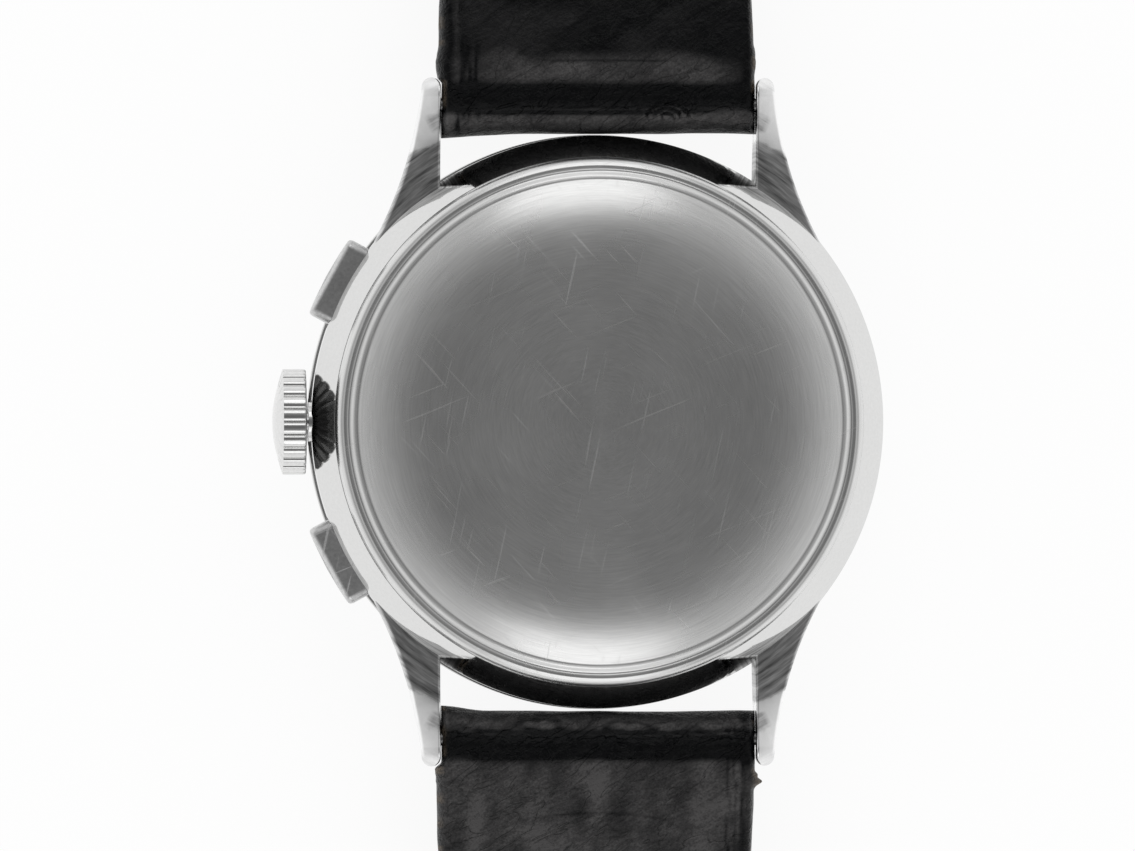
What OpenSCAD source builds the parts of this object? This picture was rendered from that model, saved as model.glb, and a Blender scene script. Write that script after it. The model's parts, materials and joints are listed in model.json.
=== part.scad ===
// Hand-wound wrist chronograph, lying on its crystal with the case back up.
// +Y is the 12 o'clock end, -X the crown side, z = 0 the flat of the crystal.

/* [Case] */
// Radius of the case middle
case_r = 17.95; // [17.8:0.01:18.1]
// Height of the case flank, from the bezel seat to the top of the polished bevel
flank_h = 5.6; // [5.5:0.05:5.8]
// Height of the convex polished bevel towards the back
bevel_h = 1.6; // [1.4:0.05:1.7]
// Width of the convex polished bevel
bevel_w = 1.3; // [1.2:0.05:1.35]
// Radius of the curve of the bevel
bevel_r = 10; // [6:0.5:16]
// Radius of the bore that holds the movement
bore_r = 15.6; // [15.55:0.01:15.7]
// Wall of the neck that the snap back clips over
neck_t = 0.3; // [0.25:0.01:0.35]
// Height of the neck
neck_h = 0.5; // [0.4:0.05:0.5]
// Radial width of the flange that carries the dial
flange_w = 0.9; // [0.7:0.05:1]
// Thickness of the flange that carries the dial
flange_t = 0.7; // [0.6:0.05:0.8]

/* [Lugs] */
// Width between the lugs
lug_gap = 20; // [19.8:0.05:20.2]
// Distance of the lug ends from the centre
lug_reach = 21.8; // [21.6:0.05:22]
// Radius of the concave outer edge of a lug
lug_arc_r = 25.6; // [25:0.1:26.5]
// Radius of the hollow top line of a lug
lug_top_r = 32; // [28:1:60]
// Height of the lug's top line where it leaves the case
lug_root_z = 8.3; // [8.1:0.05:8.5]
// Height of the lug end above the rest face
lug_tip_z = 9.45; // [9.3:0.05:9.6]
// Radius of the curved underside of a lug
lug_under_r = 14.2; // [14:0.05:14.4]

/* [Bezel and crystal] */
// Outer radius of the bezel
bezel_r = 18.2; // [18.15:0.01:18.4]
// Height of the bezel
bezel_h = 2.5; // [2.3:0.05:2.6]
// Radius of the neck that the bezel is pressed on
bezel_seat_r = 16.4; // [16.3:0.05:16.6]
// Height of the crystal's wall
crystal_h = 3; // [3:0.02:3.1]
// Outer radius of the crystal
crystal_r = 15.3; // [15.25:0.01:15.4]
// Thickness of the crystal
crystal_t = 1; // [0.8:0.05:1.05]
// Radius of the rounded edge of the crystal
crystal_edge_r = 2.4; // [2:0.1:2.5]

/* [Case back] */
// Outer radius of the back's rim
back_r = 16.6; // [16.55:0.01:16.64]
// Height of the back's rim
back_rim_h = 1.1; // [1:0.05:1.2]
// Radius of the flat brushed centre
back_flat_r = 12.9; // [12.5:0.1:13.3]
// Thickness of the back at its centre
back_t = 0.9; // [0.8:0.05:1]
// Radius of the raised bead inside the rim
bead_at = 15.47; // [15.44:0.01:15.5]
// Radius of the bead's own section
bead_r = 0.27; // [0.25:0.01:0.28]
// Radius of the curve of the shoulder
shoulder_r = 5; // [4:0.2:8]

/* [Crown] */
// Radius of the crown
crown_r = 3.365; // [3.2:0.01:3.45]
// Distance of the crown's back face from the centre
crown_back = 18.49; // [18.45:0.01:18.6]
// Distance of the crown's apex from the centre
crown_apex = 20.59; // [20.5:0.01:20.8]
// Radius of the crown's dome
crown_dome_r = 7.7; // [7:0.1:9]
// Number of flutes
crown_flutes = 24; // [20:1:28]
// Radius of one flute
flute_r = 0.27; // [0.2:0.01:0.3]
// Radius of the crown tube
tube_r = 1.25; // [1.2:0.01:1.3]
// Radius of the winding stem
stem_r = 0.5; // [0.45:0.01:0.55]
// Travel of the crown when it is pulled out
crown_travel = 0.9; // [0.7:0.05:0.95]

/* [Pushers] */
// Angle of each pusher from the crown
pusher_a = 28.5; // [28.3:0.1:29]
// Width of a pusher's cap
cap_w = 5.4; // [5.2:0.05:5.5]
// Height of a pusher's cap
cap_h = 2.4; // [2.3:0.05:2.4]
// Distance of the cap's rounded face from the centre
cap_out = 19.5; // [19.4:0.05:19.6]
// Distance of the cap's inner face from the centre
cap_in = 17.75; // [17.7:0.01:17.8]
// Radius of the pusher's shank
shank_r = 0.6; // [0.55:0.01:0.62]
// Travel of a pusher
pusher_travel = 0.6; // [0.57:0.01:0.65]

/* [Strap] */
// Width of the strap between the lugs
strap_w = 19.7; // [19.4:0.05:19.75]
// Width of the strap at its ends
strap_end_w = 16; // [15.8:0.05:16.2]
// Thickness of the strap at the spring bar
strap_t = 2.6; // [2.4:0.05:2.7]
// Thickness of the strap at its ends
strap_end_t = 1.8; // [1.6:0.05:1.85]
// Radius of the padded fold around the spring bar
fold_r = 1.7; // [1.6:0.02:1.72]
// Length of the half with the buckle, from its spring bar
short_len = 70; // [68:1:74]
// Length of the half with the holes, from its spring bar
long_len = 110; // [105:1:118]
// Run over which the strap drops to the surface
drop_run = 26; // [24:1:28]
// Number of adjusting holes
strap_holes = 7; // [5:1:8]
// Spacing of the adjusting holes
hole_pitch = 6.5; // [6:0.1:7]
// Radius of an adjusting hole
hole_r = 1; // [0.8:0.05:1.1]
// Thickness of the leather of a keeper
keeper_t = 0.9; // [0.8:0.05:1]
// Length of a keeper along the strap
keeper_len = 5; // [4.5:0.1:5.5]

/* [Spring bars and buckle] */
// Distance of the spring bars from the centre
bar_y = 20.05; // [20.04:0.01:20.1]
// Height of the spring bars above the rest face
bar_z = 8.2; // [8.15:0.01:8.25]
// Radius of a spring bar's tube
bar_r = 0.9; // [0.85:0.01:0.95]
// Radius of a spring bar's tip
bar_tip_r = 0.45; // [0.4:0.01:0.5]
// Depth of the blind holes in the lugs
bar_hole_depth = 0.9; // [0.8:0.05:0.95]
// Outer width of the buckle
buckle_w = 20.6; // [20.4:0.1:21]
// Length of the buckle from its bar to its front
buckle_len = 8.8; // [8.6:0.1:9.5]
// Thickness of the buckle's frame
buckle_t = 1.8; // [1.7:0.05:1.9]
// Radius of the buckle's bar
buckle_bar_r = 0.5; // [0.45:0.01:0.52]

/* [Dial and hands] */
// Radius of the dial
dial_r = 15.4; // [15.3:0.01:15.45]
// Thickness of the dial
dial_t = 0.4; // [0.38:0.01:0.42]
// Distance of the subdials from the centre
sub_x = 6.3; // [6.25:0.01:6.4]
// Length of the hour hand
hour_len = 8.2; // [7:0.1:9]
// Length of the minute hand
minute_len = 12.2; // [11:0.1:13]
// Length of the sweep seconds hand
sweep_len = 13.4; // [12.5:0.1:13.6]
// Length of the two small hands
small_len = 3; // [2.5:0.1:3.4]
// Thickness of a hand
hand_t = 0.12; // [0.1:0.01:0.13]

/* [Movement] */
// Radius of the mainplate
plate_r = 15.4; // [15.3:0.01:15.45]
// Thickness of the mainplate
plate_t = 1.8; // [1.75:0.01:1.85]
// Room for the train between mainplate and bridges
train_h = 2; // [1.98:0.01:2.04]
// Thickness of the bridges
bridge_t = 0.8; // [0.78:0.01:0.85]
// Radius of the bridges
bridge_r = 14.9; // [14.8:0.05:15]
// Direction of the barrel from the centre
barrel_dir = 125; // [124.5:0.1:125.5]
// Tooth module of the barrel and the centre pinion
barrel_m = 0.14; // [0.1395:0.0001:0.141]
// Tooth module of the centre wheel
centre_m = 0.115; // [0.114:0.0005:0.1155]
// Tooth module of the third wheel
third_m = 0.105; // [0.104:0.0005:0.1055]
// Tooth module of the fourth wheel
fourth_m = 0.08; // [0.079:0.0005:0.081]
// Tooth module of the crown wheel and the ratchet wheel
wind_m = 0.2; // [0.1995:0.0001:0.201]
// Direction of the escape wheel from the fourth wheel
escape_dir = -55; // [-56:0.5:-54]
// Direction of the balance from the escape wheel
balance_dir = 245; // [244:0.5:246]
// Radius of the escape wheel
escape_r = 2.3; // [2.25:0.01:2.35]
// Radius of the balance wheel
balance_r = 4.2; // [4.1:0.02:4.25]

/* [Clearances] */
// Radial running clearance of arbors and shafts
run = 0.03; // [0.02:0.005:0.04]
// Clearance of a piece that slides in a pocket
slip = 0.05; // [0.04:0.005:0.06]
// Extra distance between the axes of two meshed wheels
backlash = 0.03; // [0.02:0.005:0.04]

/* [Hidden] */
$fn = 96;

// Heights, from the crystal up to the back
dial_z = crystal_h + flange_t;
plate_z = dial_z + dial_t;
train_z = plate_z + plate_t;
bridge_z = train_z + train_h;
deck_z = bridge_z + bridge_t;
wind_z = deck_z + 0.05;
wind_t = 0.3;
lever_z = wind_z + wind_t + 0.1;
lever_t = 0.25;
chrono_z = lever_z + lever_t + 0.1;
chrono_t = 0.15;
heart_z = chrono_z + chrono_t + 0.1;
heart_t = 0.2;
span_z = heart_z + heart_t + 0.25;
span_t = 0.6;
works_z = plate_z + 0.1;
drum_z = train_z + 0.35;
drum_h = 1.45;
column_h = lever_t + 0.75;
baton_t = 0.12;
through = 20;
seat_z = crystal_h + 1.2;
case_top = seat_z + flank_h;
neck_z = case_top + neck_h;
neck_r = bore_r + neck_t;
back_in = neck_z + 1;
back_top = back_in + back_t;
bezel_z = seat_z - bezel_h;
axis_z = train_z + 1;

// Hands, from the dial towards the crystal
small_z = dial_z - 0.2 - hand_t;
hour_z = small_z - 0.2 - hand_t;
minute_z = hour_z - 0.3 - hand_t;
sweep_z = minute_z - 0.3 - hand_t;
hub_t = 0.3;

// Arbors, from the inside out
runner_arbor_r = 0.2;
centre_bore_r = runner_arbor_r + run;
centre_tube_r = centre_bore_r + 0.16;
cannon_pipe_r = centre_tube_r + 0.16;
hour_bore_r = cannon_pipe_r + run;
hour_pipe_r = hour_bore_r + 0.18;
fine_r = 0.15;
pivot_r = 0.1;
pivot_len = 0.4;
jewel_r = 0.45;
jewel_t = 0.3;
square_w = 0.66;
screw_r = 0.3;
screw_head_r = 0.6;
screw_head_t = 0.3;
screw_len = 1.2;

// Tooth counts of the train: one turn of the fourth wheel is one minute
barrel_teeth = 72;
centre_leaves = 12;
centre_teeth = 64;
third_leaves = 8;
third_teeth = 60;
fourth_leaves = 8;
fourth_teeth = 70;
escape_leaves = 7;
escape_teeth = 15;
cannon_leaves = 12;
minute_teeth = 36;
minute_leaves = 10;
hour_teeth = 40;
pinion_teeth = 17;
crown_teeth = 34;
ratchet_teeth = 51;
drive_teeth = 58;
couple_teeth = 32;
record_teeth = 30;
works_m = 0.1;
hour_m = works_m * (cannon_leaves + minute_teeth) / (minute_leaves + hour_teeth);

function polar(r, a) = [r * cos(a), r * sin(a)];
function bearing(p, q) = atan2(q[1] - p[1], q[0] - p[0]);
function turned(p, a) = [p[0] * cos(a) - p[1] * sin(a), p[0] * sin(a) + p[1] * cos(a)];
// Point at distance rp from p and rq from q, to the left of the line from p to q for side = 1
function meet(p, rp, q, rq, side) =
    let (d = norm(q - p), u = (q - p) / d, a = (d * d + rp * rp - rq * rq) / (2 * d))
    p + a * u + side * sqrt(rp * rp - a * a) * [-u[1], u[0]];
function gear_dist(na, nb, m) = (na + nb) * m / 2 + backlash;
// Turn of gear b that puts its gap opposite a tooth of gear a, seen from a in direction dir
function mesh(dir, phase, na, nb) = dir + 180 - 180 / nb + (dir - phase) * na / nb;

// Places in the movement
middle = [0, 0];
fourth_p = [sub_x, 0];
record_p = [-sub_x, 0];
third_p = meet(middle, gear_dist(centre_teeth, third_leaves, centre_m),
    fourth_p, gear_dist(third_teeth, fourth_leaves, third_m), -1);
escape_p = fourth_p + polar(gear_dist(fourth_teeth, escape_leaves, fourth_m), escape_dir);
pallet_d = escape_r / cos(30);
staff_d = 3.2;
pallet_p = escape_p + polar(pallet_d, balance_dir);
balance_p = pallet_p + polar(staff_d, balance_dir);
barrel_p = polar(gear_dist(barrel_teeth, centre_leaves, barrel_m), barrel_dir);
crown_wheel_p = [barrel_p[0] - sqrt(pow(gear_dist(crown_teeth, ratchet_teeth, wind_m), 2)
    - pow(barrel_p[1], 2)), 0];
minute_dir = 205;
minute_p = polar(gear_dist(cannon_leaves, minute_teeth, works_m), minute_dir);
column_p = [-8.3, 9];
lever_p = [-13.3, 3.8];
hammer_p = [-8.5, -9.5];
click_p = barrel_p + polar(ratchet_teeth * wind_m / 2 + 1.5, 62);
couple_d = gear_dist(drive_teeth, couple_teeth, works_m) + 0.22;
couple_p = meet(middle, couple_d + 0.25, fourth_p, couple_d, 1);
cock_foot = balance_p + [5.7, 0.25];
pallet_foot = pallet_p + [3.3, -0.3];
span_feet = [[-0.9, -5.2], sub_x * [1.43, 0.5], [-9.7, 4.6]];
deck_screws = [for (a = [20, 62, 108, 240, 262]) polar(bridge_r - 1, a)];
jewel_places = [third_p, fourth_p, escape_p];
split_x = 1.2;
push_r = 13.5;
touch_r = 0.35;
pocket_in = cap_in - pusher_travel - 0.3;
winder_x = crown_wheel_p[0] - crown_teeth * wind_m / 2;
winder_r = pinion_teeth * wind_m / 2;
clutch_r = 1.1;
clutch_x = winder_x + 0.47;
clutch_len = 1.5;
stem_end = crown_wheel_p[0] + 1;

// Turns of the wheels that put their teeth in mesh
centre_turn = mesh(bearing(barrel_p, middle), 0, barrel_teeth, centre_leaves);
third_turn = mesh(bearing(middle, third_p), 0, centre_teeth, third_leaves);
fourth_turn = mesh(bearing(third_p, fourth_p), 0, third_teeth, fourth_leaves);
escape_turn = mesh(bearing(fourth_p, escape_p), 0, fourth_teeth, escape_leaves);
minute_turn = mesh(minute_dir, 0, cannon_leaves, minute_teeth);
hour_turn = mesh(minute_dir + 180, 0, minute_leaves, hour_teeth);
ratchet_turn = mesh(bearing(crown_wheel_p, barrel_p), 0, crown_teeth, ratchet_teeth);

// Strap
short_z = keeper_t + strap_end_t + 0.3 + strap_end_t / 2;
long_z = strap_end_t / 2;
bar_gap = 0.05;
buckle_y = bar_y + short_len - 1.2;
window_w = strap_end_w + 0.6;
tongue_w = 2.2;
slot_w = tongue_w + 0.6;

// Line between the two bridges, from the centre to their outer edge
function split(x) = [[x, 1], [x + 1.3, 5.5], [x + 1.3, 20]];

function s_curve(t) = t * t * (3 - 2 * t);
function strap_mid(s, flat) = bar_z + (flat - bar_z) * s_curve(min(1, s / drop_run));
function strap_half(s, length) = (strap_t + (strap_end_t - strap_t) * min(1, s / drop_run)) / 2;

module steel() { color([0.78, 0.78, 0.77]) children(); }
module brass() { color([0.83, 0.68, 0.36]) children(); }
module leather() { color([0.06, 0.06, 0.07]) children(); }
module nickel() { color([0.72, 0.7, 0.64]) children(); }

// A straight arm with round ends, seen from above
module arm(p, q, w) {
    translate(p) circle(d = w);
    translate(q) circle(d = w);
    translate(p) rotate(bearing(p, q)) translate([0, -w * 0.49]) square([norm(q - p), w * 0.98]);
}

module post(p, z0, z1, r) {
    translate([p[0], p[1], z0]) cylinder(r = r, h = z1 - z0);
}

// Teeth with straight flanks: tip and root are half widths in shares of a pitch
module teeth(n, m, add, ded, tip, root) {
    r = n * m / 2;
    polygon([for (i = [0:n - 1], s = [[-root, -ded], [-tip, add], [tip, add], [root, -ded]])
        polar(r + s[1] * m, (i + s[0]) * 360 / n)]);
}

module pinion(p, z, t, n, m, turn) {
    translate([p[0], p[1], z]) rotate(turn) linear_extrude(t) teeth(n, m, 0.6, 1.3, 0.09, 0.13);
}

// Wheel with spokes between its hub and its rim
module wheel(p, z, t, n, m, turn, hub, rim, spokes, add = 0.9) {
    inner = n * m / 2 - 1.2 * m - rim;
    translate([p[0], p[1], z]) rotate(turn) linear_extrude(t) difference() {
        teeth(n, m, add, 1.2, 0.1, 0.24);
        difference() {
            circle(inner);
            circle(hub);
            for (i = [0:spokes - 1]) rotate(i * 360 / spokes) translate([0, -0.15]) square([inner, 0.3]);
        }
    }
}

// Places its children at a pusher, with +X outwards: side is 1 for start, -1 for reset
module at_pusher(side) {
    rotate(180 - side * pusher_a) translate([0, 0, axis_z]) children();
}

module along_x(x0, x1, r) {
    translate([x0, 0, 0]) rotate([0, 90, 0]) cylinder(r = r, h = x1 - x0);
}

module lug_plan() {
    centre_x = 11.05 + lug_arc_r;
    centre_y = 23.53;
    tip_y = lug_reach - 0.58;
    tip_x = centre_x - sqrt(pow(lug_arc_r, 2) - pow(centre_y - tip_y, 2));
    half = (tip_x - lug_gap / 2) / 2;
    difference() {
        translate([lug_gap / 2, 9.6]) square([5.6, tip_y - 9.6]);
        translate([centre_x, centre_y]) circle(lug_arc_r, $fn = 180);
    }
    translate([lug_gap / 2 + half, tip_y]) circle(half);
}

module lug_side() {
    under = [11.93, 4.3 + lug_under_r];
    tip_half = 1.15;
    tip_y = lug_reach - tip_half;
    top = meet([11.5, lug_root_z], lug_top_r, [tip_y, lug_tip_z], lug_top_r, 1);
    difference() {
        intersection() {
            translate([8, 4]) square([tip_y - 8, 6]);
            translate(under) circle(lug_under_r, $fn = 180);
        }
        translate(top) circle(lug_top_r, $fn = 180);
    }
    translate([tip_y, lug_tip_z - tip_half]) circle(tip_half);
}

module lugs() {
    for (mx = [0, 1], my = [0, 1]) mirror([mx, 0, 0]) mirror([0, my, 0]) difference() {
        intersection() {
            linear_extrude(12) lug_plan();
            rotate([90, 0, 90]) linear_extrude(through) lug_side();
        }
        cylinder(r = bore_r + 1, h = 20);
        translate([0, bar_y, bar_z]) along_x(0, lug_gap / 2 + bar_hole_depth, bar_tip_r + bar_gap);
    }
}

module case_ring() {
    low = case_top - bevel_h;
    bevel = meet([case_r, low], bevel_r, [case_r - bevel_w, case_top], bevel_r, 1);
    rotate_extrude($fn = 180) {
        translate([bore_r, seat_z]) square([case_r - bore_r, low - seat_z]);
        intersection() {
            translate([bore_r, low]) square([case_r - bore_r, bevel_h]);
            translate(bevel) circle(bevel_r);
        }
        translate([bore_r, case_top]) square([neck_t, neck_h]);
        translate([bore_r, crystal_h]) square([bezel_seat_r - bore_r, seat_z - crystal_h]);
        translate([bore_r - flange_w, crystal_h]) square([flange_w, flange_t]);
    }
}

module case_middle() {
    steel() difference() {
        union() {
            case_ring();
            lugs();
        }
        translate([0, 0, axis_z]) along_x(-case_r - 1, -bore_r + 0.5, tube_r);
        for (side = [-1, 1]) at_pusher(side) {
            translate([pocket_in, -cap_w / 2 - slip, -cap_h / 2 - slip])
                cube([3, cap_w + 2 * slip, cap_h + 2 * slip]);
            along_x(bore_r - 1, pocket_in + 1, shank_r + 0.3);
        }
    }
}

module bezel() {
    steel() rotate_extrude($fn = 180) difference() {
        polygon([[crystal_r, bezel_z], [crystal_r + 0.6, bezel_z], [bezel_r, seat_z - 0.9],
            [bezel_r, seat_z], [bezel_seat_r, seat_z], [bezel_seat_r, crystal_h],
            [crystal_r, crystal_h]]);
        translate([crystal_r + 0.9, bezel_z - 0.32]) circle(0.5);
    }
}

module crystal_half(r, edge, h) {
    square([r - edge, h]);
    translate([0, edge]) square([r, h - edge]);
    intersection() {
        translate([r - edge, edge]) circle(edge);
        square([r, h]);
    }
}

module crystal() {
    color([0.8, 0.85, 0.88, 0.35]) rotate_extrude($fn = 180) difference() {
        crystal_half(crystal_r, crystal_edge_r, crystal_h);
        translate([0, crystal_t])
            crystal_half(crystal_r - crystal_t, crystal_edge_r - crystal_t, crystal_h);
    }
}

module case_back() {
    rim_top = case_top + back_rim_h;
    edge = bead_at - bead_r - 0.12;
    shoulder = meet([edge, back_top - 1.05], shoulder_r, [back_flat_r, back_top], shoulder_r, 1);
    slope = meet([back_r, rim_top - 0.55], 1.6, [bead_at + 0.55, rim_top], 1.6, 1);
    steel() rotate_extrude($fn = 180) difference() {
        union() {
            translate([0, case_top]) square([back_flat_r, back_top - case_top]);
            intersection() {
                translate([0, case_top]) square([edge, back_top - case_top]);
                translate(shoulder) circle(shoulder_r);
            }
            translate([0, case_top]) square([edge + 0.1, back_top - 1.2 - case_top]);
            translate([0, case_top]) square([bead_at + 0.4, rim_top - 0.25 - case_top]);
            translate([bead_at, rim_top - 0.1]) circle(bead_r);
            translate([0, case_top]) square([back_r, back_rim_h - 0.55]);
            intersection() {
                translate([bead_at + 0.4, case_top]) square([back_r, back_rim_h]);
                translate(slope) circle(1.6);
            }
        }
        translate([0, case_top - 1]) square([neck_r, neck_h + 1]);
        translate([0, case_top - 1]) square([14.7, back_in - case_top + 1]);
    }
}

module crown() {
    dome_w = crown_apex - crown_dome_r;
    steel() translate([0, 0, axis_z]) rotate([0, -90, 0]) difference() {
        rotate_extrude() difference() {
            intersection() {
                translate([0, crown_back]) square([crown_r, 3]);
                translate([0, dome_w]) circle(crown_dome_r, $fn = 180);
                polygon([[0, 0], [crown_r - 0.22, crown_back], [crown_r, crown_back + 0.22],
                    [crown_r, 30], [0, 30]]);
            }
            square([tube_r + run, 18.75]);
            square([stem_r, 19.6]);
        }
        for (i = [0:crown_flutes - 1]) rotate((i + 0.5) * 360 / crown_flutes)
            translate([crown_r + 0.08, 0, crown_back - 1]) cylinder(r = flute_r, h = 2.35, $fn = 24);
    }
}

module crown_tube() {
    steel() translate([0, 0, axis_z]) difference() {
        along_x(-18.3, -bore_r + 0.1, tube_r);
        along_x(-19, -bore_r + 1, stem_r + run);
    }
}

module winding_stem() {
    steel() translate([0, 0, axis_z]) {
        along_x(-crown_apex + 0.99, stem_end, stem_r);
        along_x(stem_end, stem_end + crown_travel, stem_r * 0.6);
    }
}

module winding_pinion() {
    steel() translate([winder_x - 0.45, 0, axis_z]) rotate([0, 90, 0]) linear_extrude(0.9)
        difference() {
            teeth(pinion_teeth, wind_m, 0.4, 1, 0.12, 0.26);
            circle(stem_r + run);
        }
}

module sliding_pinion() {
    steel() translate([0, 0, axis_z]) difference() {
        union() {
            along_x(clutch_x, clutch_x + 0.5, clutch_r);
            along_x(clutch_x, clutch_x + clutch_len, clutch_r - 0.35);
            along_x(clutch_x + clutch_len - 0.4, clutch_x + clutch_len, clutch_r);
        }
        along_x(clutch_x - 1, clutch_x + clutch_len + 1, stem_r + run);
    }
}

module pusher(side) {
    steel() at_pusher(side) difference() {
        union() {
            intersection() {
                translate([cap_in, -cap_w / 2, -cap_h / 2]) cube([3, cap_w, cap_h]);
                translate([0, 0, -5]) cylinder(r = cap_out, h = 10, $fn = 180);
            }
            along_x(push_r + touch_r + slip, cap_in + 1.2, shank_r);
        }
        difference() {
            along_x(cap_in - 1, cap_in + 0.95, shank_r + 0.4);
            along_x(cap_in - 2, cap_in + 2, shank_r);
        }
    }
}

module start_pusher() { pusher(1); }
module reset_pusher() { pusher(-1); }

module pusher_sleeves() {
    brass() for (side = [-1, 1]) at_pusher(side) difference() {
        along_x(bore_r + 0.05, pocket_in, shank_r + 0.3);
        along_x(bore_r - 1, pocket_in + 1, shank_r + run);
    }
}

// Round wire of radius wire, wound at radius r along +X in whole turns
module coil(x0, x1, r, wire, turns) {
    sides = 6;
    rings = 12 * turns;
    points = [for (i = [0:rings], j = [0:sides - 1])
        let (a = i * 30, rr = r + wire * cos(j * 60))
        [x0 + (x1 - x0) * i / rings + wire * sin(j * 60), rr * cos(a), rr * sin(a)]];
    polyhedron(points, [[for (j = [0:sides - 1]) j],
        for (i = [0:rings - 1], j = [0:sides - 1])
            let (k = (j + 1) % sides, a = i * sides, b = a + sides) [a + k, a + j, b + j, b + k],
        [for (j = [sides - 1:-1:0]) rings * sides + j]]);
}

module pusher_spring(side) {
    wire = 0.09;
    steel() at_pusher(side) coil(pocket_in + wire + 0.02, cap_in + 0.95 - wire - 0.02,
        shank_r + 0.2, wire, 4);
}

module start_spring() { pusher_spring(1); }
module reset_spring() { pusher_spring(-1); }

module spring_bar(side) {
    tube = strap_w / 2 + 0.05;
    steel() translate([0, side * bar_y, bar_z]) {
        along_x(-tube, tube, bar_r);
        along_x(-lug_gap / 2 - bar_hole_depth + 0.1, lug_gap / 2 + bar_hole_depth - 0.1, bar_tip_r);
    }
}

module spring_bar_12() { spring_bar(1); }
module spring_bar_6() { spring_bar(-1); }

// Side view of a strap half, with s measured from the spring bar
module strap_side(length, flat) {
    steps = 14;
    s = [for (i = [0:steps]) drop_run * i / steps, length];
    difference() {
        union() {
            polygon(concat([for (v = s) [v, strap_mid(v, flat) - strap_half(v)]],
                [for (i = [len(s) - 1:-1:0]) [s[i], strap_mid(s[i], flat) + strap_half(s[i])]]));
            translate([0, bar_z]) circle(fold_r);
        }
        translate([0, bar_z]) circle(bar_r + bar_gap);
    }
}

module strap_plan(length, tip_r) {
    a = strap_w / 2;
    b = strap_end_w / 2;
    polygon([[-a, -3], [a, -3], [a, 0], [b, length - tip_r], [-b, length - tip_r], [-a, 0]]);
    intersection() {
        translate([0, length - b]) circle(b);
        translate([-b, length - tip_r - 0.01]) square([2 * b, tip_r + 1]);
    }
}

module strap_half_body(length, flat, tip_r) {
    intersection() {
        rotate([90, 0, 90]) translate([0, 0, -strap_w]) linear_extrude(2 * strap_w)
            strap_side(length, flat);
        linear_extrude(30) strap_plan(length, tip_r);
    }
}

module strap_short() {
    leather() difference() {
        translate([0, bar_y, 0]) strap_half_body(short_len, short_z, 0);
        translate([0, buckle_y, short_z]) along_x(-20, 20, buckle_bar_r + run);
        translate([-slot_w / 2, buckle_y - 2.2, 0]) cube([slot_w, 10, 10]);
    }
}

module strap_long() {
    leather() rotate(180) difference() {
        translate([0, bar_y, 0]) strap_half_body(long_len, long_z, strap_end_w / 2);
        for (i = [0:strap_holes - 1])
            translate([0, bar_y + long_len - 22 - i * hole_pitch, -1]) cylinder(r = hole_r, h = 9);
    }
}

module buckle_frame() {
    steel() difference() {
        translate([0, 0, short_z - buckle_t / 2]) linear_extrude(buckle_t) difference() {
            translate([-buckle_w / 2, buckle_y - 1.2]) square([buckle_w, buckle_len + 1.2]);
            translate([-window_w / 2, buckle_y - 2]) square([window_w, buckle_len + 2 - 1.8]);
        }
        translate([0, buckle_y, short_z]) along_x(-20, 20, buckle_bar_r + run);
    }
}

module buckle_bar() {
    steel() translate([0, buckle_y, short_z]) along_x(-buckle_w / 2 + 0.3, buckle_w / 2 - 0.3,
        buckle_bar_r);
}

module buckle_tongue() {
    low = buckle_t / 2 + 0.05;
    steel() difference() {
        translate([-tongue_w / 2, buckle_y, short_z]) rotate([90, 0, 90]) linear_extrude(tongue_w) {
            circle(1.1);
            translate([0, -low - 0.8]) square([buckle_len - 0.2, 0.8]);
            translate([-0.6, -low - 0.8]) square([1.3, 1.6]);
        }
        translate([0, buckle_y, short_z]) along_x(-20, 20, buckle_bar_r + run);
    }
}

// Leather loop that the strap runs through, with room for the other half on the outside
module keeper(y, w) {
    height = 2 * strap_end_t + 0.3 + 0.15;
    leather() translate([0, y + keeper_len / 2, keeper_t]) rotate([90, 0, 0])
        linear_extrude(keeper_len) difference() {
            translate([-w / 2 - keeper_t, -keeper_t])
                square([w + 2 * keeper_t, height + 2 * keeper_t]);
            translate([-w / 2, 0]) square([w, height]);
        }
}

module fixed_keeper() { keeper(buckle_y - 9, strap_end_w + 1); }
module free_keeper() { keeper(buckle_y - 24, strap_end_w + 1.9); }

module dial() {
    nickel() difference() {
        union() {
            translate([0, 0, dial_z]) cylinder(r = dial_r, h = dial_t, $fn = 180);
            for (i = [0:11]) rotate(i * 30) translate([-0.25, 11.6, dial_z - baton_t])
                cube([0.5, 1.9, baton_t + 0.08]);
        }
        post(middle, 0, 9, hour_pipe_r + 0.1);
        post(fourth_p, 0, 9, fine_r + 0.1);
        post(record_p, 0, 9, fine_r + 0.1);
    }
}

// A hand that points to +Y and tapers from its hub to its tip, with a short tail
module hand(p, z, length, tail, width, hub, bore) {
    steel() difference() {
        union() {
            translate([p[0], p[1], z]) linear_extrude(hand_t)
                polygon([[-width / 4, -tail], [width / 4, -tail], [width / 2, length * 0.3],
                    [0.06, length], [-0.06, length], [-width / 2, length * 0.3]]);
            post(p, z, z + hub_t - 0.1, hub);
        }
        post(p, z - 1, z + 1, bore);
    }
}

module hour_hand() {
    hand(middle, hour_z, hour_len, 1.6, 1.1, hour_pipe_r + 0.25, hour_pipe_r);
}

module minute_hand() {
    hand(middle, minute_z, minute_len, 1.8, 0.9, cannon_pipe_r + 0.25, cannon_pipe_r);
}

module chrono_hand() {
    hand(middle, sweep_z, sweep_len, 3.4, 0.3, runner_arbor_r + 0.3, runner_arbor_r);
}

module small_hand(p) { hand(p, small_z, small_len, 0.9, 0.3, fine_r + 0.25, fine_r); }
module small_seconds_hand() { small_hand(fourth_p); }
module minute_counter_hand() { small_hand(record_p); }

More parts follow.
